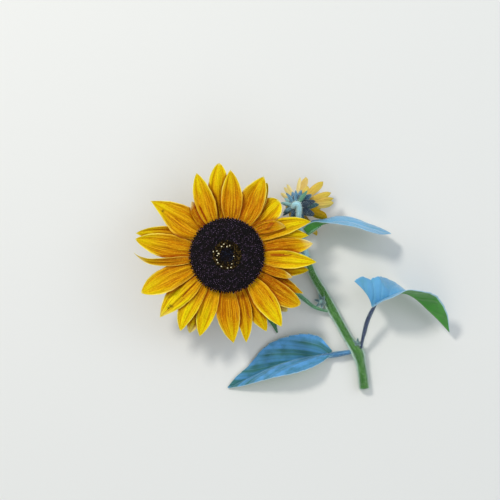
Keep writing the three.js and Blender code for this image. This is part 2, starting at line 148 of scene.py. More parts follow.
# Faces of a tube of rings, closed by the two tips that follow the rings' points
def tubeFaces(rings, sides):
    index = np.arange(rings * sides).reshape(rings, sides)
    beside = np.roll(index, -1, 1)
    faces = np.stack([index[:-1], beside[:-1], beside[1:], index[1:]], -1).reshape(-1, 4).tolist()
    low, high = rings * sides, rings * sides + 1
    faces += [(int(b), int(a), low) for a, b in zip(index[0], beside[0])]
    return faces + [(int(a), int(b), high) for a, b in zip(index[-1], beside[-1])]


# Turned round +Z from a profile of [radius, height] that runs from the axis below to the axis above
def lathePart(profile, segments, waver=None):
    radii, heights = np.array(profile[1:-1], float).T
    angle = np.linspace(0, 2 * math.pi, segments, endpoint=False)
    radius = radii[:, None] * (waver(radii[:, None], angle) if waver else np.ones(segments))
    level = np.repeat(heights[:, None], segments, 1)
    points = np.stack([radius * np.cos(angle), radius * np.sin(angle), level], -1).reshape(-1, 3)
    points = np.concatenate([points, [[0, 0, profile[0][1]], [0, 0, profile[-1][1]]]])
    faces = tubeFaces(len(radii), segments)
    share = np.repeat(np.linspace(0, 1, len(radii)), segments)
    around = np.tile(angle / (2 * math.pi), len(radii))
    flow = np.concatenate([np.stack([around, share], -1), [[0, 0], [0, 1]]])
    return makePart(points, faces, flow, [0] * len(faces))


# A smooth path through given places [x, y, z, ...]: centripetal, as the frame's stems are
def smoothPath(places, steps):
    places = np.asarray(places, float)
    spots = places[:, :3]
    ends = np.concatenate([[2 * spots[0] - spots[1]], spots, [2 * spots[-1] - spots[-2]]])
    found, extra = [], []
    for u in np.linspace(0, len(spots) - 1, steps + 1):
        i = min(int(u), len(spots) - 2)
        t = u - i
        before, a, b, after = ends[i:i + 4]
        spans = ((before, a), (a, b), (b, after))
        gap0, gap1, gap2 = (max(np.linalg.norm(q - p) ** 0.5, 1e-4) for p, q in spans)
        out = ((a - before) / gap0 - (b - before) / (gap0 + gap1) + (b - a) / gap1) * gap1
        into = ((b - a) / gap1 - (after - a) / (gap1 + gap2) + (after - b) / gap2) * gap1
        h = (2 * t ** 3 - 3 * t ** 2 + 1, t ** 3 - 2 * t ** 2 + t, 3 * t ** 2 - 2 * t ** 3, t ** 3 - t ** 2)
        found.append(h[0] * a + h[1] * out + h[2] * b + h[3] * into)
        extra.append(mix(places[i, 3:], places[i + 1, 3:], smooth(t)))
    return np.array(found), np.array(extra)


# A round stem along such places, the last number of each its radius, with rounded or flat ends
def stemPart(places, steps, sides, ridges=0.0, ridgeCount=9, flatStart=False, slot=0, cutSlot=1):
    path, extra = smoothPath(places, steps)
    radii = extra[:, 0]
    along = unit(np.gradient(path, axis=0))
    side = unit(np.cross(along[0], [0.31, 0.17, 0.93]))
    frames = []
    for direction in along:  # carried along the path with no twist
        side = unit(side - direction * np.dot(side, direction))
        frames.append((side, np.cross(direction, side)))
    rounding = [(0.0, 1.0), (0.42, 0.9), (0.75, 0.62)]  # out along the axis and how wide, in radii
    rings = [(i, 0.0, 1.0) for i in range(len(path))]
    if not flatStart:
        rings = [(0, -out, wide) for out, wide in rounding[:0:-1]] + rings
    rings += [(len(path) - 1, out, wide) for out, wide in rounding[1:]]
    angle = np.linspace(0, 2 * math.pi, sides, endpoint=False)
    ribbed = 1 + ridges * np.cos(ridgeCount * angle) + 0.5 * ridges * np.cos(2 * ridgeCount * angle + 1)
    points, flow = [], []
    run = np.concatenate([[0], np.cumsum(np.linalg.norm(np.diff(path, axis=0), axis=1))])
    for i, out, wide in rings:
        a, b = frames[i]
        outward = np.cos(angle)[:, None] * a + np.sin(angle)[:, None] * b
        points.append(path[i] + along[i] * out * radii[i] + outward * (radii[i] * wide * ribbed)[:, None])
        flow.append(np.stack([angle / (2 * math.pi), np.full(sides, run[i])], -1))
    startTip = path[0] - along[0] * (0 if flatStart else radii[0])
    endTip = path[-1] + along[-1] * radii[-1]
    points = np.concatenate([*points, [startTip, endTip]])
    flow = np.concatenate([*flow, [[0, 0], [0, run[-1]]]])
    slots = [slot] * (len(rings) - 1) * sides + [cutSlot if flatStart else slot] * sides + [slot] * sides
    return makePart(points, tubeFaces(len(rings), sides), flow, slots)


# Nodes: small helpers for shader and geometry trees

def addNode(tree, kind, inputs=None, **settings):  # gives the outputs of the new node
    made = tree.nodes.new(kind)
    for key, value in settings.items():
        setattr(made, key, value)
    for key, value in (inputs or {}).items():
        if isinstance(value, bpy.types.NodeSocket):
            tree.links.new(value, made.inputs[key])
        else:
            made.inputs[key].default_value = value
    return made.outputs


def maths(tree, operation, a, b=0.0, clamp=False):
    return addNode(tree, "ShaderNodeMath", {0: a, 1: b}, operation=operation, use_clamp=clamp)[0]


def times(tree, a, b, clamp=False):
    return maths(tree, "MULTIPLY", a, b, clamp)


def plus(tree, a, b, clamp=False):
    return maths(tree, "ADD", a, b, clamp)


def minus(tree, a, b):
    return maths(tree, "SUBTRACT", a, b)


def remap(tree, value, low, high, toLow=0.0, toHigh=1.0, shape="SMOOTHSTEP"):
    inputs = {0: value, 1: low, 2: high, 3: toLow, 4: toHigh}
    return addNode(tree, "ShaderNodeMapRange", inputs, interpolation_type=shape)[0]


def blendColours(tree, colour, *layers):  # each layer is [share, the colour that goes over]
    for share, over in layers:
        colour = addNode(tree, "ShaderNodeMix", {0: share, 6: colour, 7: over}, data_type="RGBA")[2]
    return colour


def cloud(tree, where, scale, detail, roughness=0.55):
    inputs = {"Vector": where, "Scale": scale, "Detail": detail, "Roughness": roughness}
    return addNode(tree, "ShaderNodeTexNoise", inputs)["Fac"]


def joinVector(tree, x, y, z=0.0):
    return addNode(tree, "ShaderNodeCombineXYZ", {0: x, 1: y, 2: z})[0]


def splitVector(tree, vector):
    return addNode(tree, "ShaderNodeSeparateXYZ", {0: vector})


def meshValue(tree, name):
    return addNode(tree, "ShaderNodeAttribute", attribute_name=name)["Fac"]


def newTree(kind, name, inputs, outputs):  # each socket's name, with its type
    tree = bpy.data.node_groups.new(name, f"{kind}NodeTree")
    for way, sockets in (("INPUT", inputs), ("OUTPUT", outputs)):
        for label, socket in sockets.items():
            tree.interface.new_socket(label, in_out=way, socket_type=f"NodeSocket{socket}")
    return tree, tree.nodes.new("NodeGroupInput").outputs, tree.nodes.new("NodeGroupOutput").inputs


# Lines that run lengthwise, from a flow map whose first number goes across and second along
def makeStreaks():
    sockets = {"Flow": "Vector", "Across": "Float", "Along": "Float", "Offset": "Float", "Contrast": "Float"}
    tree, given, out = newTree("Shader", "lengthwiseStreaks", sockets, {"Streak": "Float"})
    across, along = splitVector(tree, given["Flow"])[:2]
    across, along = times(tree, across, given["Across"]), times(tree, along, given["Along"])
    lines = cloud(tree, joinVector(tree, across, along, given["Offset"]), 1.0, 2.5, 0.6)
    spread = times(tree, minus(tree, lines, 0.5), given["Contrast"])
    tree.links.new(plus(tree, times(tree, spread, 6.0), 0.5, clamp=True), out["Streak"])
    return tree


# Fine living tissue: a mottle for colours, and the same grain as a height
def makeTissue():
    sockets = {"Mottle": "Float", "Grain": "Float"}
    tree, given, out = newTree("Shader", "tissueGrain", {"Size": "Float"}, sockets)
    place = addNode(tree, "ShaderNodeTexCoord")["Object"]
    scale = maths(tree, "DIVIDE", 1.0, given["Size"])
    tree.links.new(cloud(tree, place, times(tree, scale, 0.18), 3.0), out["Mottle"])
    tree.links.new(cloud(tree, place, scale, 2.0), out["Grain"])
    return tree


streaksGroup = makeStreaks()
tissueGroup = makeTissue()


def newMaterial(name, settings):
    material = bpy.data.materials.new(name)
    material.use_nodes = True
    tree = material.node_tree
    shader = tree.nodes["Principled BSDF"]
    for key, value in settings.items():
        shader.inputs[key].default_value = value
    return material, tree, shader


def flowMap(tree):  # the map, and its two numbers, across and along
    flow = addNode(tree, "ShaderNodeUVMap", uv_map="flow")[0]
    return [flow, *splitVector(tree, flow)[:2]]


def streaksOf(tree, flow, across, along, contrast):
    inputs = {"Flow": flow, "Across": across, "Along": along, "Contrast": contrast}
    inputs["Offset"] = meshValue(tree, "own")
    return addNode(tree, "ShaderNodeGroup", inputs, node_tree=streaksGroup)[0]


def tissueOf(tree, size):  # the mottle and the grain
    return addNode(tree, "ShaderNodeGroup", {"Size": size}, node_tree=tissueGroup)


def edgeOf(tree, across):  # 0 on the midrib and 1 on both margins
    return maths(tree, "ABSOLUTE", minus(tree, times(tree, across, 2.0), 1.0))


def addBump(tree, shader, height, distance, strength):
    made = addNode(tree, "ShaderNodeBump", {"Height": height, "Distance": distance, "Strength": strength})
    tree.links.new(made[0], shader.inputs["Normal"])


def dress(tree, shader, colour, height, distance, strength):
    tree.links.new(colour, shader.inputs["Base Color"])
    addBump(tree, shader, height, distance, strength)


# Camera, floor and light

studio = {
    "cameraPlace": (18.24, 4.08, 1238.0),  # straight above, a little right of the bloom's axis
    "lens": 108.0,
    "farthest": 20.0,
    "floorSize": 6.0,
    "floorColour": paint(226, 225, 221),
    "skyColour": (0.86, 0.93, 1.0, 1.0),
    "skyStrength": 0.62,
    "lamps": [  # place in metres from the bloom, size, watts, colour
        ((-0.75, 0.95, 1.35), 0.32, 17.5, (1.0, 0.965, 0.90)),
        ((1.10, 0.35, 1.0), 0.9, 3.4, (0.86, 0.93, 1.0)),
        ((0.1, -1.1, 0.9), 0.8, 1.8, (1.0, 0.98, 0.95)),
    ],
}


def setStudio():
    camera = bpy.data.objects.new("camera", bpy.data.cameras.new("camera"))
    camera.data.lens = studio["lens"]
    camera.data.clip_end = studio["farthest"]
    camera.location = toFrame(studio["cameraPlace"])
    bpy.context.scene.collection.objects.link(camera)
    bpy.context.scene.camera = camera
    for number, (place, size, watts, tint) in enumerate(studio["lamps"]):
        lamp = bpy.data.lights.new(f"softLamp{number}", "AREA")
        lamp.shape = "DISK"
        lamp.size = size
        lamp.energy = watts
        lamp.color = tint
        holder = bpy.data.objects.new(lamp.name, lamp)
        holder.location = Vector(place) + Vector(bloomAxis)
        aim = Vector(bloomAxis) - holder.location
        holder.rotation_euler = aim.to_track_quat("-Z", "Y").to_euler()
        bpy.context.scene.collection.objects.link(holder)
    world = bpy.data.worlds.new("studioSky")
    world.use_nodes = True
    sky = world.node_tree.nodes["Background"].inputs
    sky[0].default_value = studio["skyColour"]
    sky[1].default_value = studio["skyStrength"]
    bpy.context.scene.world = world
    bpy.context.scene.view_settings.view_transform = "Standard"
    half = studio["floorSize"] / 2
    mesh = bpy.data.meshes.new("floor")
    corners = [(-half, -half, 0), (half, -half, 0), (half, half, 0), (-half, half, 0)]
    mesh.from_pydata(corners, [], [(0, 1, 2, 3)])
    floor = bpy.data.objects.new("floor", mesh)
    material, _, _ = newMaterial("paleFloor", {"Roughness": 0.8, "Base Color": studio["floorColour"]})
    mesh.materials.append(material)
    bpy.context.scene.collection.objects.link(floor)


setStudio()
print("studio set")

# Ray petals of the large bloom

petalForm = {
    "footRadius": 26.9,
    "footShare": 0.5,
    "footHeight": 34.95,  # at tier 0
    "tierStep": 0.82,
    "tierRise": (-3.2, 0.4, 4.2, 8.2),  # of the tips, for tiers 0 to 3
    "fullReach": 73.0,
    "cup": 0.16,
    "widest": 0.46,
    "thickness": 0.36,
    "rows": 60,
    "columns": 32,
    "fold": 0.1,  # height of the long folds, in half widths
    "groove": 0.05,  # of the finer grooves between them
    "ripple": 0.085,  # of the margin
    "edgeCurl": 0.2,  # how far a margin may turn up or down
    "wobble": 0.022,  # of the outline
    "roll": 6.0,  # degrees, either way
    "coverReach": 2.7,  # how far the shade of a petal above spreads
    "speckSize": 0.95,
    "turnEase": 1.3,  # powers of the share of the length
    "riseEase": 1.25,
    "droopEase": 5,
    "hookSpan": (0.65, 0.35),  # where a hook starts and how long it is, as shares of the length
    "curlSpan": (0.8, 0.2),
    "seed": 11,
}

# Each petal is [azimuth at foot, azimuth at tip, reach, width, tier, point, tone, flame, what else it has].
# The tier rises from the back to the front, tone goes from clear yellow to orange, and past 0.8 to
# red-brown towards the foot, partly the petal's own colour and partly painted shade on petals that lie
# under others, and flame is how strong the brown streaks are. sides makes the left and right halves wider
# or narrower, widest is where along it, twist rolls it, hook turns the tip aside, curl lifts it and droop
# lowers it. notch is [place across, width across, depth], pale is how cream the tip is, with a painted
# highlight towards its margins, cover is the share of the shade, rim that of the pale margin, partly a
# painted highlight where an edge catches the light, and specks are the places of dark spots.
petalRows = [
    (11, 7.6, 69, 14, 2, 0.3, 0.95, 0.9, dict(droop=2, sides=(0.82, 1.25), pale=0.8, curl=2, rim=0.4)),
    (23, 13.4, 67, 12.5, 1, 0.6, 0.25, 0.35, dict(sides=(1.1, 1), cover=0.25)),
    (32.5, 21.8, 72, 14.5, 2, 0.6, 0.15, 0.5, dict(droop=1, sides=(0.9, 1.1))),
    (40, 26, 51.6, 11.5, 3, 0.3, 1.3, 1.3, dict(droop=1, sides=(1, 0.75), pale=0.2, curl=1.2, rim=0.15)),
    (50, 46.5, 60.3, 20.5, 1, 0, 0.3, 0.4, dict(droop=3, sides=(0.95, 1.14), notch=(0.3, 0.3, 0.8))),
    (57.5, 61.1, 66.2, 12, 1.2, 0.3, 0.3, 0.4, dict(sides=(0.9, 1), cover=0.2)),
    (62, 65, 69.3, 17.6, 2, 0.55, 0.85, 0.9, dict(droop=1, sides=(1.4, 1), notch=(-0.5, 0.3, 1.5))),
    (83, 88, 68, 17.4, 3, 0.6, 0.8, 1, dict(droop=1, sides=(1.06, 0.95), notch=(0.45, 0.3, 1.6))),
    (101, 95, 74, 17.2, 1, 0.15, 0.2, 0.6, dict(sides=(0.92, 1.12), notch=(0, 0.35, 0.8))),
    (117, 110.4, 69.6, 14, 3.8, 0.5, 0.3, 0.45, dict(droop=1.5, sides=(0.94, 1.4))),
    (126.5, 123.4, 51.4, 10.5, 3, 0.4, 2.2, 1.4, dict(pale=0.9, cover=1.5, rim=0)),
    (137, 144.7, 74.8, 20, 2.2, 0.85, 0.4, 1.15,
     dict(widest=0.36, droop=2, sides=(1.56, 1), specks=[(-51.4, 35.2)])),
    (158, 166.6, 75.2, 15, 1, 0.55, 0.3, 0.5, dict(sides=(1, 0.95), cover=0.6)),
    (170, 170, 74.1, 17, 3, 0.5, 0.6, 1.35, dict(droop=1, sides=(1.3, 1))),
    (187.4, 183.4, 73.9, 7.8, 4.6, 0.8, 0.9, 0.8, dict(hook=-4.8, twist=-32, pale=0.8, cover=0.2, rim=5)),
    (196.8, 203.8, 74.6, 17.5, 3, 0.4, 0.4, 1.15, dict(widest=0.54, droop=1, sides=(1.36, 0.9))),
    (218, 222.8, 73, 16, 2.5, 0.72, 0, 0.3,
     dict(droop=1, sides=(1.14, 1.28), pale=0.3, specks=[(-46.9, -42.1), (-45.5, -40.3), (-44.1, -41)])),
    (231, 238.3, 71.2, 13.5, 1.7, 0.5, 0.05, 0.25, dict(sides=(1, 1.38))),
    (241.5, 244, 69.7, 15, 0, 0.3, 0.35, 0.3, dict(pale=0.7)),
    (250, 251.3, 68.8, 15.5, 0.9, 0.6, 0.05, 0.15, dict(droop=1, sides=(0.9, 1.12))),
    (271, 274.1, 70.8, 18.4, 0.2, 0.65, 0.75, 0.6, dict(droop=1, sides=(0.93, 1.14))),
    (290, 282.2, 71.9, 12.9, -0.4, 0.6, 0.6, 0.6, dict(sides=(0.92, 1.15))),
    (300, 297.3, 68.9, 13, -0.9, 0.5, 0.65, 0.6, dict(sides=(0.95, 1.38))),
    (314, 307.3, 71.5, 16, 3, 0.55, 0.2, 0.45, dict(droop=1, sides=(0.93, 1.24))),
    (316.5, 316.8, 66, 12, 0, 0, 0.65, 0.5, dict(pale=0.9)),
    (326, 326, 70.5, 15, 2, 0, 1.35, 1.0, dict(droop=1, sides=(0.82, 1.42), rim=0.6)),
    (332.6, 333.2, 68.4, 12, 0.4, 0.75, 1.4, 0.9, dict()),
    (341, 341, 54.9, 7.6, 3, 0.3, 1.2, 1.1, dict(droop=2, pale=0.6, curl=1.5, rim=0.3)),
    (346, 349.6, 66.5, 12.5, 1, 0.55, 0.5, 0.6, dict(sides=(1, 1.1), cover=0.8)),
    (357, 355.5, 71.4, 13.5, 3, 0.65, 0.05, 0.3, dict(droop=1, sides=(0.98, 1.2))),
]
petalKeys = ("reach", "width", "tier", "point", "tone", "flame")
petals = [dict(azimuths=row[:2], **dict(zip(petalKeys, row[2:8])), **row[8]) for row in petalRows]


def petalHalf(s, width, widest, point):  # half the width at a share s of the length
    foot = petalForm["footShare"]
    rising = mix(foot, 1, np.sin(math.pi / 2 * np.clip(s / widest, 0, 1) ** 0.9))
    over = np.clip((s - widest) / (1 - widest), 0, 1)
    falling = np.maximum(0.04, (1 - over ** mix(2.7, 1.3, point)) ** mix(0.6, 1.1, point))
    return width / 2 * np.where(s < widest, rising, falling)


def azimuthAlong(petal, s):
    return np.radians(mix(*petal["azimuths"], s ** petalForm["turnEase"]))


def lateRise(s, start, length):  # from 0 at the start to 1 at the tip
    return np.clip((s - start) / length, 0, 1) ** 2


def petalMiddle(petal, s):
    radius = mix(petalForm["footRadius"], petal["reach"], s)
    azimuth = azimuthAlong(petal, s)
    azimuth = azimuth + math.radians(petal.get("hook", 0)) * lateRise(s, *petalForm["hookSpan"])
    outward = (radius - petalForm["footRadius"]) / (petalForm["fullReach"] - petalForm["footRadius"])
    foot = petalForm["footHeight"] + petal["tier"] * petalForm["tierStep"]
    rise = np.interp(petal["tier"], range(4), petalForm["tierRise"])
    height = foot + rise * outward ** petalForm["riseEase"]
    height = height - petal.get("droop", 0) * s ** petalForm["droopEase"]
    height = height + petal.get("curl", 0) * lateRise(s, *petalForm["curlSpan"])
    return np.stack([radius * np.cos(azimuth), radius * np.sin(azimuth), height], -1)


def petalCover(points, petal):  # how far each point lies in the shade of the petals above
    radius = np.hypot(points[..., 0], points[..., 1])
    azimuth = np.arctan2(points[..., 1], points[..., 0])
    cover = np.zeros(radius.shape)
    for other in petals:
        if other["tier"] <= petal["tier"]:
            continue
        s = (radius - petalForm["footRadius"]) / (other["reach"] - petalForm["footRadius"])
        s = np.clip(s, 0, 1.2)
        middle = azimuthAlong(other, s)
        beside = np.sin(azimuth - middle) * radius
        facing = np.cos(azimuth - middle) > 0
        widest = other.get("widest", petalForm["widest"])
        half = petalHalf(np.minimum(s, 1), other["width"], widest, other["point"])
        left, right = other.get("sides", (1, 1))
        inside = half * np.where(beside > 0, left, right) - np.abs(beside)
        inside = np.where((s < 1) & facing, inside, -10)
        cover = np.maximum(cover, smooth((inside / petalForm["coverReach"] + 1) * 1.05))
    return cover * petal.get("cover", 1)


def petalPart(petal, rng):
    rows, columns = petalForm["rows"], petalForm["columns"]
    widest = petal.get("widest", petalForm["widest"])
    s = 1 - (1 - np.linspace(0, 1, rows + 1)) ** 1.35  # closer together at the tip
    crowding = 0.92  # of the columns at the margins
    t = np.sin(np.linspace(-1, 1, columns + 1) * math.pi / 2 * crowding) / math.sin(math.pi / 2 * crowding)
    middle = petalMiddle(petal, s)
    ahead, behind = np.minimum(s + 0.01, 1), np.maximum(s - 0.01, 0)
    along = unit(petalMiddle(petal, ahead) - petalMiddle(petal, behind))
    level = unit(np.cross(up, along))
    lift = np.cross(along, level)
    s, t = s[:, None], t[None, :]
    left, right = petal.get("sides", (1, 1))
    half = petalHalf(s, petal["width"], widest, petal["point"]) * np.where(t > 0, left, right)
    waves = [
        np.sin(2 * math.pi * n * s + rng.uniform(0, 6.3) + 2.5 * (t > 0)) / n ** 0.5
        for n in (2.3, 5.1, 9.7)
    ]
    half = half * (1 + petalForm["wobble"] * sum(waves) * smooth(s / 0.3))
    roll = np.radians(petal.get("twist", 0) + rng.uniform(-1, 1) * petalForm["roll"])
    roll = roll * smooth((s - 0.1) / 0.3)
    cup = petalForm["cup"] * smooth(s / 0.4)
    body = smooth(s / 0.22) * (1 - 0.55 * smooth((s - 0.72) / 0.28)) + 0.12
    phase = rng.uniform(0, 2 * math.pi, 6)
    bend = rng.uniform(-0.35, 0.35)
    folds = np.cos(2 * math.pi * (1.02 * t + bend * t * t * s) + 0.5 * np.sin(phase[0]))
    grooves = np.cos(2 * math.pi * 2.75 * t + phase[1] + 0.5 * np.sin(3 * s + phase[2]))
    fine = np.cos(2 * math.pi * 6.2 * t + phase[3])
    fold, groove = petalForm["fold"], petalForm["groove"]
    relief = body * (fold * folds + groove * grooves + 0.3 * groove * fine)
    relief = relief * (1 - np.abs(t) ** 5)
    ripple = petalForm["ripple"] * np.abs(t) ** 3 * np.sin(2 * math.pi * 1.7 * s + phase[4] + 2.2 * (t > 0))
    turnUp = np.where(t > 0, rng.uniform(-0.5, 1), rng.uniform(-0.5, 1)) * petalForm["edgeCurl"]
    ripple = ripple + turnUp * np.abs(t) ** 3.5 * smooth((s - 0.15) / 0.4)
    rise = half * (np.sin(cup) * np.abs(t) ** 1.5 + relief + ripple * body)
    beside = half * t * np.cos(cup)
    sideways = beside * np.cos(roll) - rise * np.sin(roll)
    upward = beside * np.sin(roll) + rise * np.cos(roll)
    grid = middle[:, None] + sideways[..., None] * level[:, None] + upward[..., None] * lift[:, None]
    place, wide, depth = petal.get("notch", (0.0, 0.3, 0.35))
    cut = depth * np.exp(-((t - place) / wide) ** 2) * smooth((s - 0.82) / 0.18)
    grid = grid - cut[..., None] * along[:, None]
    speck = np.zeros(grid.shape[:2])
    for x, y in petal.get("specks", ()):
        away = np.hypot(grid[..., 0] - x, grid[..., 1] - y)
        speck = np.maximum(speck, np.exp(-(away / petalForm["speckSize"]) ** 2))
    values = {
        "tone": np.full(grid.shape[:2], petal["tone"]),
        "flame": np.full(grid.shape[:2], petal["flame"]),
        # pale: a cream tip, stronger towards the margins as a painted highlight
        "pale": petal.get("pale", 0) * smooth((s - 0.78 + 0.06 * t) / 0.2) * mix(0.4, 1.5, np.abs(t) ** 2),
        "cover": petalCover(grid, petal),
        "rim": np.full(grid.shape[:2], petal.get("rim", 1)),
        "relief": relief / petalForm["fold"] * np.ones_like(t),
        "speck": speck,
        "own": np.full(grid.shape[:2], rng.uniform(0, 40)),
    }
    flow = np.stack(np.broadcast_arrays((t + 1) / 2, s), -1)
    thickness = petalForm["thickness"] * (1 - 0.45 * np.abs(t) ** 3) * (1 - 0.3 * s)
    return bladePart(grid, thickness, flow, values)


petalPaint = {
    "foot": paint(216, 158, 0),
    "middle": paint(228, 174, 0),
    "tip": paint(242, 224, 0),
    "orange": paint(196, 112, 0),
    "streak": paint(134, 64, 4),
    # pale lengthwise lines, partly the petal's own pattern and partly painted highlight on the ridges
    "line": paint(248, 200, 30),
    "shade": paint(154, 64, 0),
    # red-brown towards the foot, partly the petal's own colour and partly painted shade
    "rustAndShade": paint(146, 66, 0),
    # pale margin, partly painted highlight where an edge catches the light
    "rim": paint(255, 240, 104),
    "hem": paint(234, 180, 52),
    "under": paint(208, 176, 32),
    "cream": paint(250, 236, 176),
    "speck": paint(44, 34, 22),
}


def makePetalMaterial():
    material, tree, shader = newMaterial("rayPetal", {"Specular IOR Level": 0.06})
    flow, across, along = flowMap(tree)
    tone, flame, margin = (meshValue(tree, name) for name in ("tone", "flame", "rim"))
    fine, broad = streaksOf(tree, flow, 30.0, 2.6, 0.7), streaksOf(tree, flow, 5.0, 2.0, 0.7)
    mottle, grain = tissueOf(tree, 0.0011)
    edge = edgeOf(tree, across)
    ripe = plus(tree, along, remap(tree, tone, 0.3, 0.0, 0.0, 0.25, "LINEAR"))
    toned = times(tree, tone, remap(tree, along, 1.05, 0.25, 0.25, 1.0))
    # Red-brown towards the foot of the orange petals: partly their own colour and partly painted shade where
    # they lie under others
    rustAndShadeShare = remap(tree, tone, 0.8, 1.5, 0.0, 0.75, "LINEAR")
    rustAndShadeShare = times(tree, rustAndShadeShare, remap(tree, along, 1.05, 0.3, 0.3, 1.0))
    # Brown flames: parallel lines that start near the foot and thin out along the petal
    flameCount = 6.5
    waves = plus(tree, times(tree, across, 2 * math.pi * flameCount), times(tree, broad, 3.2))
    waves = maths(tree, "SINE", waves)
    fading = plus(tree, times(tree, broad, 0.3), along)
    fading = plus(tree, fading, times(tree, minus(tree, 0.5, flame), 0.3))
    window = times(tree, remap(tree, along, 0.04, 0.2, 0.15, 1.0), remap(tree, fading, 0.95, 0.5))
    window = times(tree, times(tree, window, remap(tree, edge, 1.0, 0.6, 0.15, 1.0)), flame)
    darkLines = times(tree, remap(tree, fine, 0.42, 0.1), remap(tree, along, 0.95, 0.4, 0.25, 0.55))
    foot = remap(tree, along, 0.07, 0.03, 0.0, 0.8)
    hem = maths(tree, "MAXIMUM", remap(tree, edge, 0.88, 0.98, 0.0, 0.55), foot)
    # Pale margins and tips: partly the petal's own pale edge and partly painted highlight where the edges
    # catch the light
    patchy = times(tree, remap(tree, mottle, 0.3, 0.5, 0.4, 1.0), remap(tree, along, 0.4, 0.8, 0.1, 1.0))
    rim = times(tree, remap(tree, edge, 0.86, 0.96), patchy)
    rim = maths(tree, "MAXIMUM", rim, remap(tree, along, 0.96, 0.995))
    layers = [
        (remap(tree, along, 0.1, 0.55), "middle"),
        (remap(tree, ripe, 0.42, 0.85), "tip"),
        (toned, "orange"),
        (rustAndShadeShare, "rustAndShade"),
        (times(tree, window, 0.34), "orange"),
        (times(tree, remap(tree, waves, -0.2, -0.9, 0.0, 0.6), window), "line"),
        (times(tree, remap(tree, waves, 0.1, 0.9), window), "streak"),
        # deeper orange in the hollows of the folds: painted shade
        (remap(tree, meshValue(tree, "relief"), 0.15, -0.75, 0.0, 0.45), "orange"),
        (darkLines, "streak"),
        (times(tree, remap(tree, fine, 0.6, 0.92), 0.5), "line"),
        (times(tree, remap(tree, grain, 0.52, 0.68), 0.38), "line"),
        (times(tree, remap(tree, grain, 0.48, 0.32), 0.38), "orange"),
        (times(tree, hem, margin), "hem"),
        (times(tree, rim, margin), "rim"),
        (times(tree, meshValue(tree, "cover"), remap(tree, mottle, 0.3, 0.7, 0.6, 0.95)), "shade"),
        (remap(tree, mottle, 0.25, 0.75, 0.0, 0.12), "orange"),
        (times(tree, minus(tree, 1.0, meshValue(tree, "upper")), 0.55), "under"),
        (times(tree, meshValue(tree, "pale"), 0.85, clamp=True), "cream"),
        (times(tree, meshValue(tree, "speck"), 0.85), "speck"),
    ]
    colour = blendColours(tree, petalPaint["foot"], *((share, petalPaint[name]) for share, name in layers))
    height = plus(tree, times(tree, fine, 0.5), times(tree, grain, 0.3))
    height = minus(tree, height, times(tree, remap(tree, waves, -0.4, 1.0), 0.5))
    dress(tree, shader, colour, height, 0.0004, 0.7)
    tree.links.new(remap(tree, fine, 0.0, 1.0, 0.46, 0.62), shader.inputs["Roughness"])
    return material


rayPetalMaterial = makePetalMaterial()
petalRandom = np.random.default_rng(petalForm["seed"])
for number, petal in enumerate(petals, 1):
    piece = makePiece(f"rayPetal{number:02d}", [petalPart(petal, petalRandom)], [rayPetalMaterial])
    finishPiece(piece, "petal", f"ray_petal_{number:02d}")
print("ray petals:", len(petals))

# Things scattered by node trees: florets in golden-angle order, and hairs

scatter = {  # lengths in metres
    "rayStart": 0.06,  # over the axis, where a floret's ray starts down
    "rayLength": 0.2,
    "lowestFloret": 0.02,
    "hairLooseness": 0.45,
    "hairLength": 0.001,
    "lowestTip": 0.0001,
}


def randomValue(tree, low, high, seed):
    inputs = {2: low, 3: high, "Seed": seed}
    return addNode(tree, "FunctionNodeRandomValue", inputs, data_type="FLOAT")[1]


def addVectors(tree, a, b):
    return addNode(tree, "ShaderNodeVectorMath", {0: a, 1: b}, operation="ADD")[0]


def scaled(tree, vector, factor):
    return addNode(tree, "ShaderNodeVectorMath", {0: vector, "Scale": factor}, operation="SCALE")[0]


def looseness(tree, given, most):  # a random push, as strong as Loose says
    inputs = {0: [-x for x in most], 1: most, "Seed": given["Seed"]}
    push = addNode(tree, "FunctionNodeRandomValue", inputs, data_type="FLOAT_VECTOR")[0]
    return scaled(tree, push, given["Loose"])


def finishInstances(tree, given, out, points, direction, size, unwanted):
    seed = given["Seed"]
    turned = addNode(tree, "FunctionNodeAlignRotationToVector", {"Vector": direction}, axis="Z")[0]
    spin = joinVector(tree, 0.0, 0.0, randomValue(tree, 0.0, 2 * math.pi, seed))
    inputs = {"Rotation": turned, "Rotate By": spin}
    turned = addNode(tree, "FunctionNodeRotateRotation", inputs, rotation_space="LOCAL")[0]
    placed = addNode(tree, "GeometryNodeInstanceOnPoints", {
        "Points": points,
        "Instance": addNode(tree, "GeometryNodeObjectInfo", {"Object": given["Template"]})["Geometry"],
        "Rotation": turned,
        "Scale": size,
    })[0]
    inputs = {"Geometry": placed, "Name": "own", "Value": randomValue(tree, 0.0, 1.0, seed)}
    named = addNode(tree, "GeometryNodeStoreNamedAttribute", inputs, data_type="FLOAT", domain="INSTANCE")[0]
    inputs = {"Geometry": named, "Selection": unwanted}
    kept = addNode(tree, "GeometryNodeDeleteGeometry", inputs, domain="INSTANCE")[0]
    real = addNode(tree, "GeometryNodeRealizeInstances", {"Geometry": kept})[0]
    painted = addNode(tree, "GeometryNodeSetMaterial", {"Geometry": real, "Material": given["Material"]})[0]
    tree.links.new(painted, out["Geometry"])


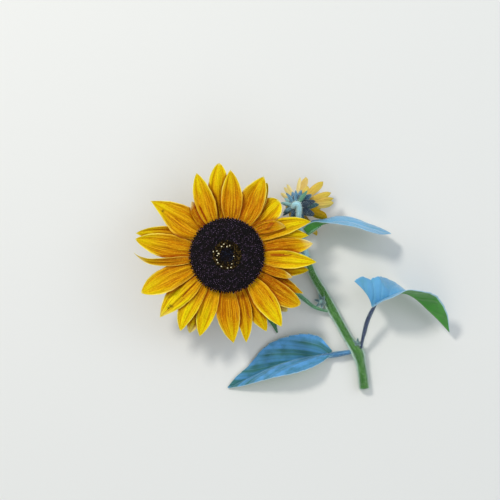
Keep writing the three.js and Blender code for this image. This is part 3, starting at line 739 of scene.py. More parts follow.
def makeFloretTree():
    tree, given, out = newTree("Geometry", "goldenFlorets", {
        "Geometry": "Geometry", "Template": "Object", "Axis": "Vector", "Count": "Int",
        "Inner Radius": "Float", "Outer Radius": "Float", "Outward": "Float", "Loose": "Float",
        "Material": "Material", "Seed": "Int",
    }, {"Geometry": "Geometry"})
    index = addNode(tree, "GeometryNodeInputIndex")[0]
    share = maths(tree, "DIVIDE", plus(tree, index, 0.5), given["Count"])
    low, high = (maths(tree, "POWER", given[f"{side} Radius"], 2.0) for side in ("Inner", "Outer"))
    radius = maths(tree, "SQRT", plus(tree, times(tree, minus(tree, high, low), share), low))
    angle = times(tree, index, goldenAngle)
    outward = joinVector(tree, maths(tree, "COSINE", angle), maths(tree, "SINE", angle))
    spot = addVectors(tree, scaled(tree, outward, radius), given["Axis"])
    points = addNode(tree, "GeometryNodePoints", {"Count": given["Count"], "Position": spot})[0]
    place = addNode(tree, "GeometryNodeInputPosition")[0]
    hit = addNode(tree, "GeometryNodeRaycast", {
        "Target Geometry": given["Geometry"],
        "Source Position": addVectors(tree, place, (0.0, 0.0, scatter["rayStart"])),
        "Ray Direction": (0.0, 0.0, -1.0),
        "Ray Length": scatter["rayLength"],
    })
    inputs = {"Geometry": points, "Position": hit["Hit Position"]}
    onDome = addNode(tree, "GeometryNodeSetPosition", inputs)[0]
    rim = maths(tree, "POWER", maths(tree, "DIVIDE", radius, given["Outer Radius"]), 6.0)
    leaning = scaled(tree, outward, times(tree, rim, given["Outward"]))
    push = addVectors(tree, looseness(tree, given, (1.0, 1.0, 0.0)), leaning)
    direction = addVectors(tree, hit["Hit Normal"], push)
    size = randomValue(tree, 0.82, 1.18, given["Seed"])
    # A ray that slips between two faces leaves its floret at the origin, far below the disk
    astray = maths(tree, "LESS_THAN", splitVector(tree, place)[2], scatter["lowestFloret"])
    finishInstances(tree, given, out, onDome, direction, size, astray)
    return tree


def makeHairTree():
    tree, given, out = newTree("Geometry", "surfaceHairs", {
        "Geometry": "Geometry", "Template": "Object", "Density": "Float", "Shortest": "Float",
        "Longest": "Float", "Loose": "Float", "Material": "Material", "Seed": "Int",
    }, {"Geometry": "Geometry"})
    inputs = {"Mesh": given["Geometry"], "Density": given["Density"], "Seed": given["Seed"]}
    spread = addNode(tree, "GeometryNodeDistributePointsOnFaces", inputs)
    direction = addVectors(tree, spread["Normal"], looseness(tree, given, (1.0, 1.0, 1.0)))
    size = randomValue(tree, given["Shortest"], given["Longest"], given["Seed"])
    # No hair stands where its tip would go below the floor
    heading = addNode(tree, "ShaderNodeVectorMath", {0: direction}, operation="NORMALIZE")[0]
    rise = times(tree, times(tree, splitVector(tree, heading)[2], scatter["hairLength"]), size)
    foot = splitVector(tree, addNode(tree, "GeometryNodeInputPosition")[0])[2]
    buried = maths(tree, "LESS_THAN", plus(tree, foot, rise), scatter["lowestTip"])
    finishInstances(tree, given, out, spread["Points"], direction, size, buried)
    return tree


floretTree = makeFloretTree()
hairTree = makeHairTree()


# Runs a tree on a piece's mesh and keeps what it makes as a new plain mesh
def runTree(tree, name, base, settings):
    made = bpy.data.objects.new(name, base.data)
    bpy.context.scene.collection.objects.link(made)
    modifier = made.modifiers.new("nodes", "NODES")
    modifier.node_group = tree
    named = {item.name: item.identifier for item in tree.interface.items_tree if item.in_out == "INPUT"}
    for label, value in settings.items():
        modifier[named[label]] = value
    evaluated = made.evaluated_get(bpy.context.evaluated_depsgraph_get())
    mesh = bpy.data.meshes.new_from_object(evaluated)
    made.modifiers.remove(modifier)
    made.data = mesh
    mesh.name = name
    mesh.shade_smooth()
    return made


def makeTemplate(name, points, faces, tips):
    mesh = bpy.data.meshes.new(name)
    mesh.from_pydata([tuple(p * 0.001 for p in point) for point in points], [], faces)
    attribute = mesh.attributes.new("tip", "FLOAT", "POINT")
    attribute.data.foreach_set("value", tips)
    template = bpy.data.objects.new(name, mesh)
    bpy.context.scene.collection.objects.link(template)
    return template


# A ring of points round +Z
def ring(radius, height, count, start=0.0):
    angles = [start + 2 * math.pi * i / count for i in range(count)]
    return [(radius * math.cos(a), radius * math.sin(a), height) for a in angles]


# A closed prism or dome out of rings with the same count, and a tip
def stackRings(rings, tip):
    count = len(rings[0])
    points = [p for r in rings for p in r] + [tip]
    faces = [tuple(range(count))[::-1]]
    for level in range(len(rings) - 1):
        for i in range(count):
            a, b = level * count + i, level * count + (i + 1) % count
            faces.append((a, b, b + count, a + count))
    top = (len(rings) - 1) * count
    faces += [(top + i, top + (i + 1) % count, len(points) - 1) for i in range(count)]
    return points, faces


# An open floret: a five-toothed cup round a style with two curled arms
def floretTemplate(name, cup, height, tooth, style):
    points, faces, tips = [], [], []

    def join(some, sides, tipValues):
        start = len(points)
        points.extend(some)
        faces.extend(tuple(v + start for v in side) for side in sides)
        tips.extend(tipValues)

    rings = [ring(cup * 0.55, -0.5, 5), ring(cup * 0.6, height * 0.5, 5)]
    body, sides = stackRings(rings, (0, 0, height * 0.62))
    join(body, sides, [0.0] * 5 + [0.15] * 6)
    for i in range(5):
        a = 2 * math.pi * i / 5
        out, side = (math.cos(a), math.sin(a)), (-math.sin(a), math.cos(a))
        inner, wide = cup * 0.42, cup * 0.36
        some = [
            (out[0] * inner + side[0] * wide, out[1] * inner + side[1] * wide, height * 0.45),
            (out[0] * inner - side[0] * wide, out[1] * inner - side[1] * wide, height * 0.45),
            (out[0] * cup * 0.75, out[1] * cup * 0.75, height * 0.42),
            (out[0] * (cup + tooth), out[1] * (cup + tooth), height * 0.8),
        ]
        join(some, [(0, 2, 1), (0, 3, 2), (1, 2, 3), (0, 1, 3)], [0.2, 0.2, 0.1, 0.8])
    column, sides = stackRings([ring(0.16, height * 0.4, 3), ring(0.13, style * 0.85, 3)], (0, 0, style))
    join(column, sides, [0.3] * 3 + [0.9] * 4)
    for turn in (0.6, 0.6 + math.pi):
        out = (math.cos(turn), math.sin(turn))
        some = [
            (out[0] * 0.02 - out[1] * 0.13, out[1] * 0.02 + out[0] * 0.13, style * 0.92),
            (out[0] * 0.02 + out[1] * 0.13, out[1] * 0.02 - out[0] * 0.13, style * 0.92),
            (out[0] * 0.1, out[1] * 0.1, style * 0.74),
            (out[0] * 0.5, out[1] * 0.5, style * 0.86),
        ]
        join(some, [(0, 1, 2), (0, 3, 1), (0, 2, 3), (1, 3, 2)], [0.9, 0.9, 0.6, 1.0])
    return makeTemplate(name, points, faces, tips)


def budTemplate(name, width, height, sides):
    rings = [
        ring(width * 0.7, -0.4, sides),
        ring(width, height * 0.35, sides, 0.1),
        ring(width * 0.8, height * 0.75, sides, 0.2),
    ]
    points, faces = stackRings(rings, (0, 0, height))
    return makeTemplate(name, points, faces, [0.0] * sides + [0.25] * sides + [0.7] * sides + [1.0])


# Disk of the large bloom: open dark florets, a ring of florets about to open, and buds

diskForm = {
    "profile": [
        (0, 34.6), (26.0, 34.6), (26.4, 38.4), (28.4, 39.0), (29.3, 40.6), (28.5, 42.0), (26.4, 42.9),
        (22, 43.6), (17, 43.9), (13.2, 43.6), (9.5, 43.0), (6.4, 42.3), (3, 41.9), (0, 41.8),
    ],
    "segments": 96,
    "zones": {  # radii, how many, outward lean, looseness
        "openFlorets": (12.2, 29.3, 1060, 0.75, 0.2),
        "openingFlorets": (6.0, 12.2, 210, -0.35, 0.14),
        "diskBuds": (0.0, 6.0, 78, -0.3, 0.06),
    },
    "rimCount": 120,  # florets that lean out over the feet of the petals
    "rimRadius": 29.4,
    "rimShift": (-0.35, -0.35, 0),
    "rimHeights": (39.4, 42.6),
    "rimLengths": (1.0, 1.8),
    "rimAside": (-0.35, 0.35),
    "rimRise": (-0.05, 0.75),
    "rimSeed": 5,
    "pollenRadius": 0.52,
    "pollenHeight": 45.1,
    "pollen": [  # [radius, azimuth] of the pale grains on the stamens that stick out
        (9.2, 106), (8.1, 123), (6.8, 91), (7.8, 75), (11.4, 165), (8.7, 158), (6.9, 170), (7.8, 183),
        (8.9, 204), (9.5, 218), (10.1, 244), (5.3, 352), (7.8, 299), (10.3, 287), (10.5, 273),
    ],
}
diskPaint = {
    "dome": paint(6, 3, 6),
    # each zone: a dark colour, and a paler one for the floret tips that is a painted glint of light
    "openFlorets": (paint(9, 5, 10), paint(150, 124, 158)),
    "openingFlorets": (paint(20, 14, 6), paint(104, 84, 44)),
    "diskBuds": (paint(9, 10, 16), paint(46, 50, 66)),
    "warm": paint(52, 34, 14),
    "pollen": paint(252, 240, 196),
}


def makeFloretMaterial(name):
    material, tree, shader = newMaterial(name, {"Roughness": 0.72, "Specular IOR Level": 0.03})
    mottle, grain = tissueOf(tree, 0.0009)
    own = remap(tree, meshValue(tree, "own"), 0.3, 0.9, 0.04, 1.0)
    # Pale tips: a painted glint of light, strong on some florets and faint on others
    paintedLight = times(tree, remap(tree, meshValue(tree, "tip"), 0.45, 0.95), own)
    warm = remap(tree, mottle, 0.35, 0.7, 0.0, 0.35)
    dark, light = diskPaint[name]
    dress(tree, shader, blendColours(tree, dark, (paintedLight, light), (warm, diskPaint["warm"])), grain, 0.0001, 0.4)
    return material


def spherePart(centre, radius):
    bands = 5
    profile = [(0, -radius)]
    for i in range(1, bands):
        a = math.pi * (i / bands - 0.5)
        profile.append((radius * math.cos(a), radius * math.sin(a)))
    part = lathePart(profile + [(0, radius)], 8)
    part["points"] = part["points"] + np.asarray(centre, float)
    return part


def makeDisk():
    dark, tree, shader = newMaterial("diskGround", {"Roughness": 0.85, "Base Color": diskPaint["dome"]})
    addBump(tree, shader, tissueOf(tree, 0.0006)["Grain"], 0.0002, 0.8)
    dome = makePiece("diskGround", [lathePart(diskForm["profile"], diskForm["segments"])], [dark])
    templates = {
        "openFlorets": floretTemplate("openFloret", cup=0.62, height=1.15, tooth=0.34, style=1.75),
        "openingFlorets": budTemplate("openingFloret", width=0.62, height=1.75, sides=5),
        "diskBuds": budTemplate("diskBud", width=0.6, height=1.1, sides=6),
    }
    for seed, (name, (inner, outer, count, outward, loose)) in enumerate(diskForm["zones"].items(), 3):
        made = runTree(floretTree, name, dome, {
            "Template": templates[name],
            "Axis": Vector(bloomAxis),
            "Count": count,
            "Inner Radius": inner * 0.001,
            "Outer Radius": outer * 0.001,
            "Outward": outward,
            "Loose": loose,
            "Material": makeFloretMaterial(name),
            "Seed": seed,
        })
        finishPiece(made, "disk", "main_bloom_disk")
        bpy.data.objects.remove(templates[name])
    finishPiece(dome, "disk", "main_bloom_disk")


def makeDiskDetails():
    rng = np.random.default_rng(diskForm["rimSeed"])
    rimParts = []
    for i in range(diskForm["rimCount"]):
        a = i * 2 * math.pi / diskForm["rimCount"] + rng.uniform(-0.02, 0.02)
        out = np.array([math.cos(a), math.sin(a), 0])
        side = np.array([-math.sin(a), math.cos(a), 0])
        start = out * diskForm["rimRadius"] + up * rng.uniform(*diskForm["rimHeights"]) + diskForm["rimShift"]
        aside, rise = rng.uniform(*diskForm["rimAside"]), rng.uniform(*diskForm["rimRise"])
        heading = unit(out + side * aside + up * rise)
        length = rng.uniform(*diskForm["rimLengths"])
        places = [[*(start - heading), 0.42], [*(start + heading * length * 0.4), 0.46]]
        places.append([*(start + heading * length), 0.1])
        part = stemPart(places, 5, 5)
        count = len(part["points"])
        part["values"] = {"tip": np.linspace(0, 1, count), "own": np.full(count, rng.uniform())}
        rimParts.append(part)
    rim = makePiece("rimFlorets", rimParts, [bpy.data.materials["openFlorets"]])
    finishPiece(rim, "disk", "main_bloom_disk")
    pollen, _, _ = newMaterial("pollen", {"Roughness": 0.6, "Base Color": diskPaint["pollen"]})
    grains = []
    for radius, azimuth in diskForm["pollen"]:
        a = math.radians(azimuth)
        size = diskForm["pollenRadius"] * rng.uniform(0.8, 1.15)
        for _ in range(3):
            spot = np.array([radius * math.cos(a), radius * math.sin(a), diskForm["pollenHeight"]])
            spot = spot + rng.uniform(-0.3, 0.3, 3)
            grains.append(spherePart(spot, size * rng.uniform(0.6, 0.9)))
    finishPiece(makePiece("pollenGrains", grains, [pollen]), "disk", "main_bloom_disk")


makeDisk()
makeDiskDetails()
print("disk florets set")

# Stems: ribbed, with hairs, and a flat pale cut at the foot

stemForm = {
    "mainStem": {
        "places": [
            (112.3, -109.8, 4.1, 3.9), (109.8, -91.6, 4.3, 3.8), (106.6, -80, 5.4, 5.1),
            (98.9, -68.5, 4.7, 3.6), (91.9, -55.9, 4.1, 3.5), (85.8, -45.2, 4.3, 4),
            (78.4, -31.1, 3.9, 3.4), (70.2, -17, 4.6, 3.1), (64.6, -1.5, 7.6, 2.7),
        ],
        "steps": 110, "sides": 36, "node": "main_stem", "cut": True,
    },
    "sideStalk": {
        "places": [
            (64.5, -1.1, 7.75, 2.7), (61.2, 9.8, 14, 2.4), (58.8, 20.5, 24.3, 2.1), (57.3, 30, 32, 2),
            (57.6, 36.8, 36, 2.1), (56.7, 41, 38.3, 2.05), (53.9, 40.8, 37.3, 1.95),
            (53.2, 39.2, 34.4, 1.95), (54.3, 39.5, 32.2, 2.1),
        ],
        "steps": 70, "sides": 24, "node": "side_stalk", "cut": False,
    },
    "bloomStalk": {
        "places": [
            (64.3, -3, 7.2, 1.9), (60, -2.8, 6.6, 2.7), (52.8, -1.8, 5.6, 3.1), (36.4, -0.9, 3.75, 3.2),
            (18, 0, 3.5, 3.2), (6.7, 0.6, 5.4, 3.3), (1, 0.3, 10.8, 3.5), (0, 0, 14.6, 3.9),
            (0, 0, 17.2, 4.6),
        ],
        "steps": 80, "sides": 28, "node": "bloom_stalk", "cut": False,
    },
}
stemRidges = (0.022, 8)  # their height as a share of the radius, and how many
stemHairs = (1.5, 0.9, 2.1)
stemPaint = {
    "green": paint(58, 118, 34),
    "pale": paint(100, 152, 78),
    "dark": paint(34, 84, 18),
    # near-white for the stem's sides: partly the pale hairs and partly painted sheen
    "flankSheen": paint(218, 246, 232),
    "hair": paint(222, 238, 228),
    "hairShade": paint(150, 178, 176),
    "pith": paint(214, 222, 178),
    "rind": paint(120, 156, 84),
    "cyan": paint(196, 234, 240),
}


def makeStemMaterial(name, green, pale, dark, flankSheen=0.25):
    material, tree, shader = newMaterial(name, {
        "Roughness": 0.55, "Specular IOR Level": 0.35, "Sheen Weight": 0.6, "Sheen Roughness": 0.35,
    })
    _, around, run = flowMap(tree)
    turn = times(tree, around, 2 * math.pi)
    where = joinVector(tree, maths(tree, "COSINE", turn), maths(tree, "SINE", turn), times(tree, run, 0.025))
    lines = cloud(tree, where, 3.2, 4.0, 0.65)
    mottle, grain = tissueOf(tree, 0.0009)
    # Paler where the skin turns away from the top, the sides as the stem lies: partly its pale hairs and
    # partly painted sheen, in patches and fainter near the start
    facing = addNode(tree, "ShaderNodeNewGeometry")["Normal"]
    skyward = maths(tree, "ABSOLUTE", splitVector(tree, facing)[2])
    patchy = remap(tree, mottle, 0.25, 0.6, 0.55, 1.0)
    patchy = times(tree, patchy, remap(tree, run, 4.0, 34.0, 0.4, 1.0))
    colour = blendColours(
        tree, green,
        (remap(tree, lines, 0.45, 0.62), pale),
        (remap(tree, lines, 0.5, 0.32, 0.0, 0.8), dark),
        (remap(tree, mottle, 0.35, 0.75, 0.0, 0.4), dark),
        (times(tree, remap(tree, skyward, 0.76, 0.52, 0.0, flankSheen), patchy), stemPaint["flankSheen"]),
    )
    dress(tree, shader, colour, plus(tree, lines, times(tree, grain, 0.25)), 0.0006, 0.6)
    return material


def makeCutMaterial():
    material, tree, shader = newMaterial("stemCut", {"Roughness": 0.8})
    mottle, grain = tissueOf(tree, 0.0007)
    colour = blendColours(tree, stemPaint["pith"], (remap(tree, mottle, 0.35, 0.65), stemPaint["rind"]))
    dress(tree, shader, colour, grain, 0.0004, 0.7)
    return material


def makeHairMaterial():
    material, tree, shader = newMaterial("paleHair", {"Roughness": 0.5, "Specular IOR Level": 0.4})
    share = times(tree, meshValue(tree, "own"), 0.5)
    colour = blendColours(tree, stemPaint["hair"], (share, stemPaint["hairShade"]))
    tree.links.new(colour, shader.inputs["Base Color"])
    return material


hairTemplate = makeTemplate(
    "hair",
    [(0.055, 0, 0), (-0.028, 0.048, 0), (-0.028, -0.048, 0), (0.06, 0.03, 1.0)],
    [(0, 2, 1), (0, 1, 3), (1, 2, 3), (2, 0, 3)],
    [0.0, 0.0, 0.0, 1.0],
)
hairMaterial = makeHairMaterial()


# Hairs are given as how many a square millimetre, the shortest and the longest
def addHairs(name, base, slot, seed, perArea, shortest, longest):
    hairs = runTree(hairTree, name, base, {
        "Template": hairTemplate,
        "Density": perArea * 1e6,  # from square millimetres to square metres
        "Shortest": shortest,
        "Longest": longest,
        "Loose": scatter["hairLooseness"],
        "Material": hairMaterial,
        "Seed": seed,
    })
    finishPiece(hairs, slot)


stemMaterial = makeStemMaterial("greenStem", stemPaint["green"], stemPaint["pale"], stemPaint["dark"], 0.9)
# The side stalk's pale cyan is partly its hairs and partly the sky's reflection, painted in
stalkMaterial = makeStemMaterial("paleStalk", paint(166, 218, 230), stemPaint["cyan"], paint(132, 178, 184))
cutMaterial = makeCutMaterial()


def makeStems():
    for seed, (name, form) in enumerate(stemForm.items(), 20):
        part = stemPart(form["places"], form["steps"], form["sides"], *stemRidges, form["cut"])
        skin = stalkMaterial if name == "sideStalk" else stemMaterial
        piece = makePiece(name, [part], [skin, cutMaterial])
        finishPiece(piece, "stem", form["node"])
        addHairs(f"{name}Hairs", piece, "stem", seed, *stemHairs)


makeStems()
print("stems set")

# Bracts and bowls of both blooms

bractStations = (0, 0.3, 0.62, 0.86, 1)


def bractPart(
    azimuth, start, length, width, slopes, rows=16, columns=8, thickness=0.5, cup=14, own=0.0, outline=None,
):
    side = math.radians(azimuth)
    radius, height = start
    places = []
    for i, s in enumerate(bractStations):
        slope = math.radians(mix(slopes[0], slopes[1], float(smooth(s))))
        step = length * (s - bractStations[max(i - 1, 0)])
        radius += step * math.cos(slope)
        height += step * math.sin(slope)
        places.append((radius * math.cos(side), radius * math.sin(side), height))
    path, _ = smoothPath(places, rows)
    along = unit(np.gradient(path, axis=0))
    level = unit(np.cross(up, along))
    lift = np.cross(along, level)
    s = np.linspace(0, 1, rows + 1)[:, None]
    t = np.linspace(-1, 1, columns + 1)[None, :]
    if outline is None:
        share = (0.8 + 0.2 * np.sin(np.clip(s / 0.3, 0, 1) * math.pi / 2)) * (1 - 0.965 * s ** 1.5)
    else:
        share = outline(s)
    half = width / 2 * share
    angle = math.radians(cup)
    rise = half * (np.abs(t) ** 1.4 * math.sin(angle) + 0.07 * np.cos(2 * math.pi * 1.5 * t) * (1 - t ** 4))
    aside = half * t * math.cos(angle)
    grid = path[:, None] + aside[..., None] * level[:, None] + rise[..., None] * lift[:, None]
    flow = np.stack(np.broadcast_arrays((t + 1) / 2, s), -1)
    values = {"own": np.full(grid.shape[:2], own)}
    return bladePart(grid, thickness * (1 - 0.3 * s) * (1 - 0.3 * np.abs(t)), flow, values)


def turnPart(part, rotation, offset):
    part["points"] = part["points"] @ np.asarray(rotation).T + offset
    return part


bractPaint = {
    "green": paint(58, 104, 62),
    "pale": paint(132, 168, 142),
    "deep": paint(30, 66, 44),
    # painted shadow for the bracts in shade
    "paintedShadow": paint(13, 25, 40),
    "leafy": paint(96, 156, 112),
    # a pale painted highlight for the far-left bracts, on the lit side
    "frost": paint(150, 200, 196),
}


def makeBractMaterial(name, green, pale, deep):
    settings = {"Roughness": 0.62, "Specular IOR Level": 0.3, "Sheen Weight": 0.4}
    material, tree, shader = newMaterial(name, settings)
    flow, across, along = flowMap(tree)
    lines = streaksOf(tree, flow, 9.0, 1.5, 0.6)
    mottle, grain = tissueOf(tree, 0.001)
    rim = remap(tree, edgeOf(tree, across), 0.75, 1.0, 0.0, 0.7)
    colour = blendColours(
        tree, green,
        (remap(tree, lines, 0.2, 0.9, 0.0, 0.55), pale),
        (maths(tree, "MAXIMUM", rim, remap(tree, along, 0.8, 1.0, 0.0, 0.6)), pale),
        (remap(tree, mottle, 0.4, 0.75, 0.0, 0.6), deep),
        (times(tree, meshValue(tree, "leafy"), 0.8), bractPaint["leafy"]),
        (meshValue(tree, "frost"), bractPaint["frost"]),
        (times(tree, meshValue(tree, "shade"), 0.88), bractPaint["paintedShadow"]),
    )
    dress(tree, shader, colour, plus(tree, lines, times(tree, grain, 0.6)), 0.0003, 0.6)
    return material


calyxForm = {
    "bowl": [
        (0, 17.5), (4.8, 17.5), (6.4, 17.9), (8, 18.8), (11.4, 20.1), (15, 21.8), (18.4, 24), (21.5, 26.4),
        (24, 28.8), (26, 31.2), (26.9, 32.8), (27.2, 34.2), (24, 34.4), (0, 34.4),
    ],
    "rings": [  # start, length, width, slopes, turn of the ring in degrees
        ((20.5, 28.4), 31.0, 8.5, (6, -4), 0.0),
        ((13.5, 23.0), 31.0, 8.5, (-24, -62), 15.0),
        ((18.0, 25.6), 27.0, 7.6, (-8, -30), 8.0),
    ],
    "count": 12,
    "thickness": 0.6,
    "segments": 72,
    "ribDepth": 0.018,
    "seed": 41,
    "hairs": (0.22, 0.8, 1.7),
    "hairSeed": 31,
}


def makeCalyx():
    rng = np.random.default_rng(calyxForm["seed"])
    material = makeBractMaterial("calyxGreen", bractPaint["green"], bractPaint["pale"], bractPaint["deep"])

    def ribs(radius, angle):  # one rib for each bract of a ring
        return 1 + calyxForm["ribDepth"] * np.cos(calyxForm["count"] * angle) * (radius > 5)

    parts = [lathePart(calyxForm["bowl"], calyxForm["segments"], ribs)]
    for start, length, width, slopes, turn in calyxForm["rings"]:
        for i in range(calyxForm["count"]):
            azimuth = turn + i * 360 / calyxForm["count"]
            grown, spread = length * rng.uniform(0.94, 1.0), width * rng.uniform(0.88, 1.06)
            looks = {"thickness": calyxForm["thickness"], "own": rng.uniform(0, 20)}
            parts.append(bractPart(azimuth, start, grown, spread, slopes, **looks))
    piece = makePiece("mainCalyx", parts, [material])
    finishPiece(piece, "bract", "main_bloom_calyx")
    addHairs("mainCalyxHairs", piece, "bract", calyxForm["hairSeed"], *calyxForm["hairs"])


makeCalyx()
print("calyx set")

# The small bloom, which nods on its hooked stalk and is seen from behind

sideForm = {
    "centre": (58.4, 40.6, 23.9),
    "tilt": 27,
    "heading": 15,
    "bowl": [
        (0, -9), (2.4, -9), (3.8, -8.5), (5.2, -7.6), (6.9, -6), (8.2, -4.2), (8.9, -2), (9.2, -0.2),
        (8, 0), (0, 0),
    ],
    "disk": [(0, 0.3), (7.2, 0.3), (7.3, 2.2), (6.6, 3.4), (4.6, 4.2), (0, 4.6)],
    "rings": [  # start, length, width, slopes, turn of the ring in degrees
        ((5.6, -5.0), 11.0, 5.0, (20, 42), 0.0),
        ((4.4, -6.6), 11.0, 4.4, (4, 12), 13.0),
        ((3.2, -8.2), 9.0, 3.4, (-2, 2), 8.0),
    ],
    "count": 9,
    "petalWidth": 7.0,
    "reach": 23.5,
    "forward": 14.0,
    "ringRadius": 9.2,
    # Azimuth as it lies, shares of full length and width, tone, flame, pale and, for some, lean in degrees
    "petals": [
        (-168, 0.72, 1, 0.3, 0.3, 0.2), (-140, 0.8, 1, 0.3, 0.3, 0.2), (-108, 0.9, 1, 0.3, 0.3, 0.2),
        (-79, 1.4, 1, 0.6, 0.4, 0.2), (-33, 0.93, 1.15, 2, 1, 0), (-14, 0.5, 1, 0.6, 0.6, 0),
        (1, 1.06, 1.1, 0.1, 0.9, 0.45), (10, 1.08, 0.7, 0.3, 0.9, 0.3), (22.6, 1.04, 0.85, 0.1, 1.2, 0.25),
        (51.5, 1.04, 1.0, 0.1, 1.2, 0.25), (76, 0.5, 1, 0, 0.3, 0.4), (91, 0.95, 1.05, 1, 0.9, 0.5),
        (106, 0.99, 0.55, 0, 0.1, 1), (129, 0.66, 0.5, 0.2, 1.4, 1.1, -29),
        (139, 0.66, 0.55, 0.2, 1.4, 1.1, -29), (155, 0.66, 0.6, 0.1, 1.4, 1.1, -29),
    ],
    "seed": 51,
    "hairs": (1.1, 0.6, 1.5),
    "hairSeed": 52,
}


def sideTurn():
    tilt, heading = math.radians(sideForm["tilt"]), math.radians(sideForm["heading"])
    axis = Vector((math.sin(tilt) * math.cos(heading), math.sin(tilt) * math.sin(heading), -math.cos(tilt)))
    return np.array(Vector((0, 0, 1)).rotation_difference(axis).to_matrix())


def sidePetalPart(rng, azimuth, share, wide, tone, flame, pale, lean=0):
    out = sideForm["reach"] - sideForm["ringRadius"]
    slope = math.degrees(math.atan2(sideForm["forward"], out)) + lean
    part = bractPart(
        2 * (sideForm["heading"] + 90) - azimuth, (sideForm["ringRadius"] - 1.4, 0.9),
        share * math.hypot(out, sideForm["forward"]) + 0.5, sideForm["petalWidth"] * wide,
        (slope - 8, slope + 6), rows=22, columns=14, thickness=0.3, cup=16, own=rng.uniform(0, 40),
        outline=lambda s: petalHalf(s, 9.0, 0.45, 0.55) / 4.5,
    )
    count = len(part["points"])
    part["values"] |= {
        "tone": np.full(count, tone),
        "flame": np.full(count, flame),
        "pale": pale * mix(0.65, 1.0, np.abs(2 * part["flow"][:, 0] - 1) ** 2),
        # relief here only paints three grooves across the petal in deeper orange: painted shade
        "relief": 0.8 * np.cos(part["flow"][:, 0] * 2 * math.pi * 3),
    }
    return part


def makeSideBloom():
    rng = np.random.default_rng(sideForm["seed"])
    turn, centre = sideTurn(), np.array(sideForm["centre"])
    # The blue of these bracts is the sky's reflection, painted in
    material = makeBractMaterial("sideGreen", paint(70, 122, 160), paint(134, 186, 206), paint(34, 72, 96))
    bowl = lathePart(sideForm["bowl"], 48)
    # The bowl lies in painted shadow
    bowl["values"]["shade"] = np.full(len(bowl["points"]), 0.9)
    parts = [bowl]
    for start, length, width, slopes, first in sideForm["rings"]:
        for i in range(sideForm["count"]):
            lying = first + i * 360 / sideForm["count"]
            azimuth = 2 * (sideForm["heading"] + 90) - lying
            # The bracts of the right side and those below get painted shadow, the far-left ones a pale
            # painted highlight, and the leafy ones their green; the right-side bracts are also longer, wider
            # and more lifted, the top ones shorter
            above, dark, left, low = (
                float(smooth(1.4 - abs((lying - middle + 180) % 360 - 180) / spread))
                for middle, spread in ((88, 50), (-12, 58), (172, 32), (-110, 40))
            )
            leafy = float(abs(lying - 55) < 8) + 0.6 * float(lying == 0)
            grown = 1 - 0.25 * above * (1 - leafy) + 0.2 * dark + 0.1 * left
            grown = length * rng.uniform(0.88, 1.04) * grown
            spread = width * (rng.uniform(0.85, 1.1) + 0.6 * dark)
            lifted = [a + 10 * dark for a in slopes]
            part = bractPart(azimuth, start, grown, spread, lifted, own=rng.uniform(0, 20))
            shades = {"shade": max(dark * (1 - 0.6 * leafy), 0.75 * low), "leafy": leafy, "frost": 0.8 * left}
            part["values"] |= {key: np.full(len(part["points"]), value) for key, value in shades.items()}
            parts.append(part)
    calyx = makePiece("sideCalyx", [turnPart(p, turn, centre) for p in parts], [material])
    finishPiece(calyx, "bract", "side_bloom_calyx")
    addHairs("sideCalyxHairs", calyx, "bract", sideForm["hairSeed"], *sideForm["hairs"])
    rays = [turnPart(sidePetalPart(rng, *petal), turn, centre) for petal in sideForm["petals"]]
    finishPiece(makePiece("sideRays", rays, [rayPetalMaterial]), "petal", "side_bloom_rays")
    disk = turnPart(lathePart(sideForm["disk"], 32), turn, centre)
    finishPiece(makePiece("sideDisk", [disk], [bpy.data.materials["diskGround"]]), "disk", "side_bloom_disk")


makeSideBloom()
print("small bloom set")

# Leaves: each rib place is [x, y, z, left width, left angle, right width, right angle], and each half
# of the blade leans at its own angle from the level

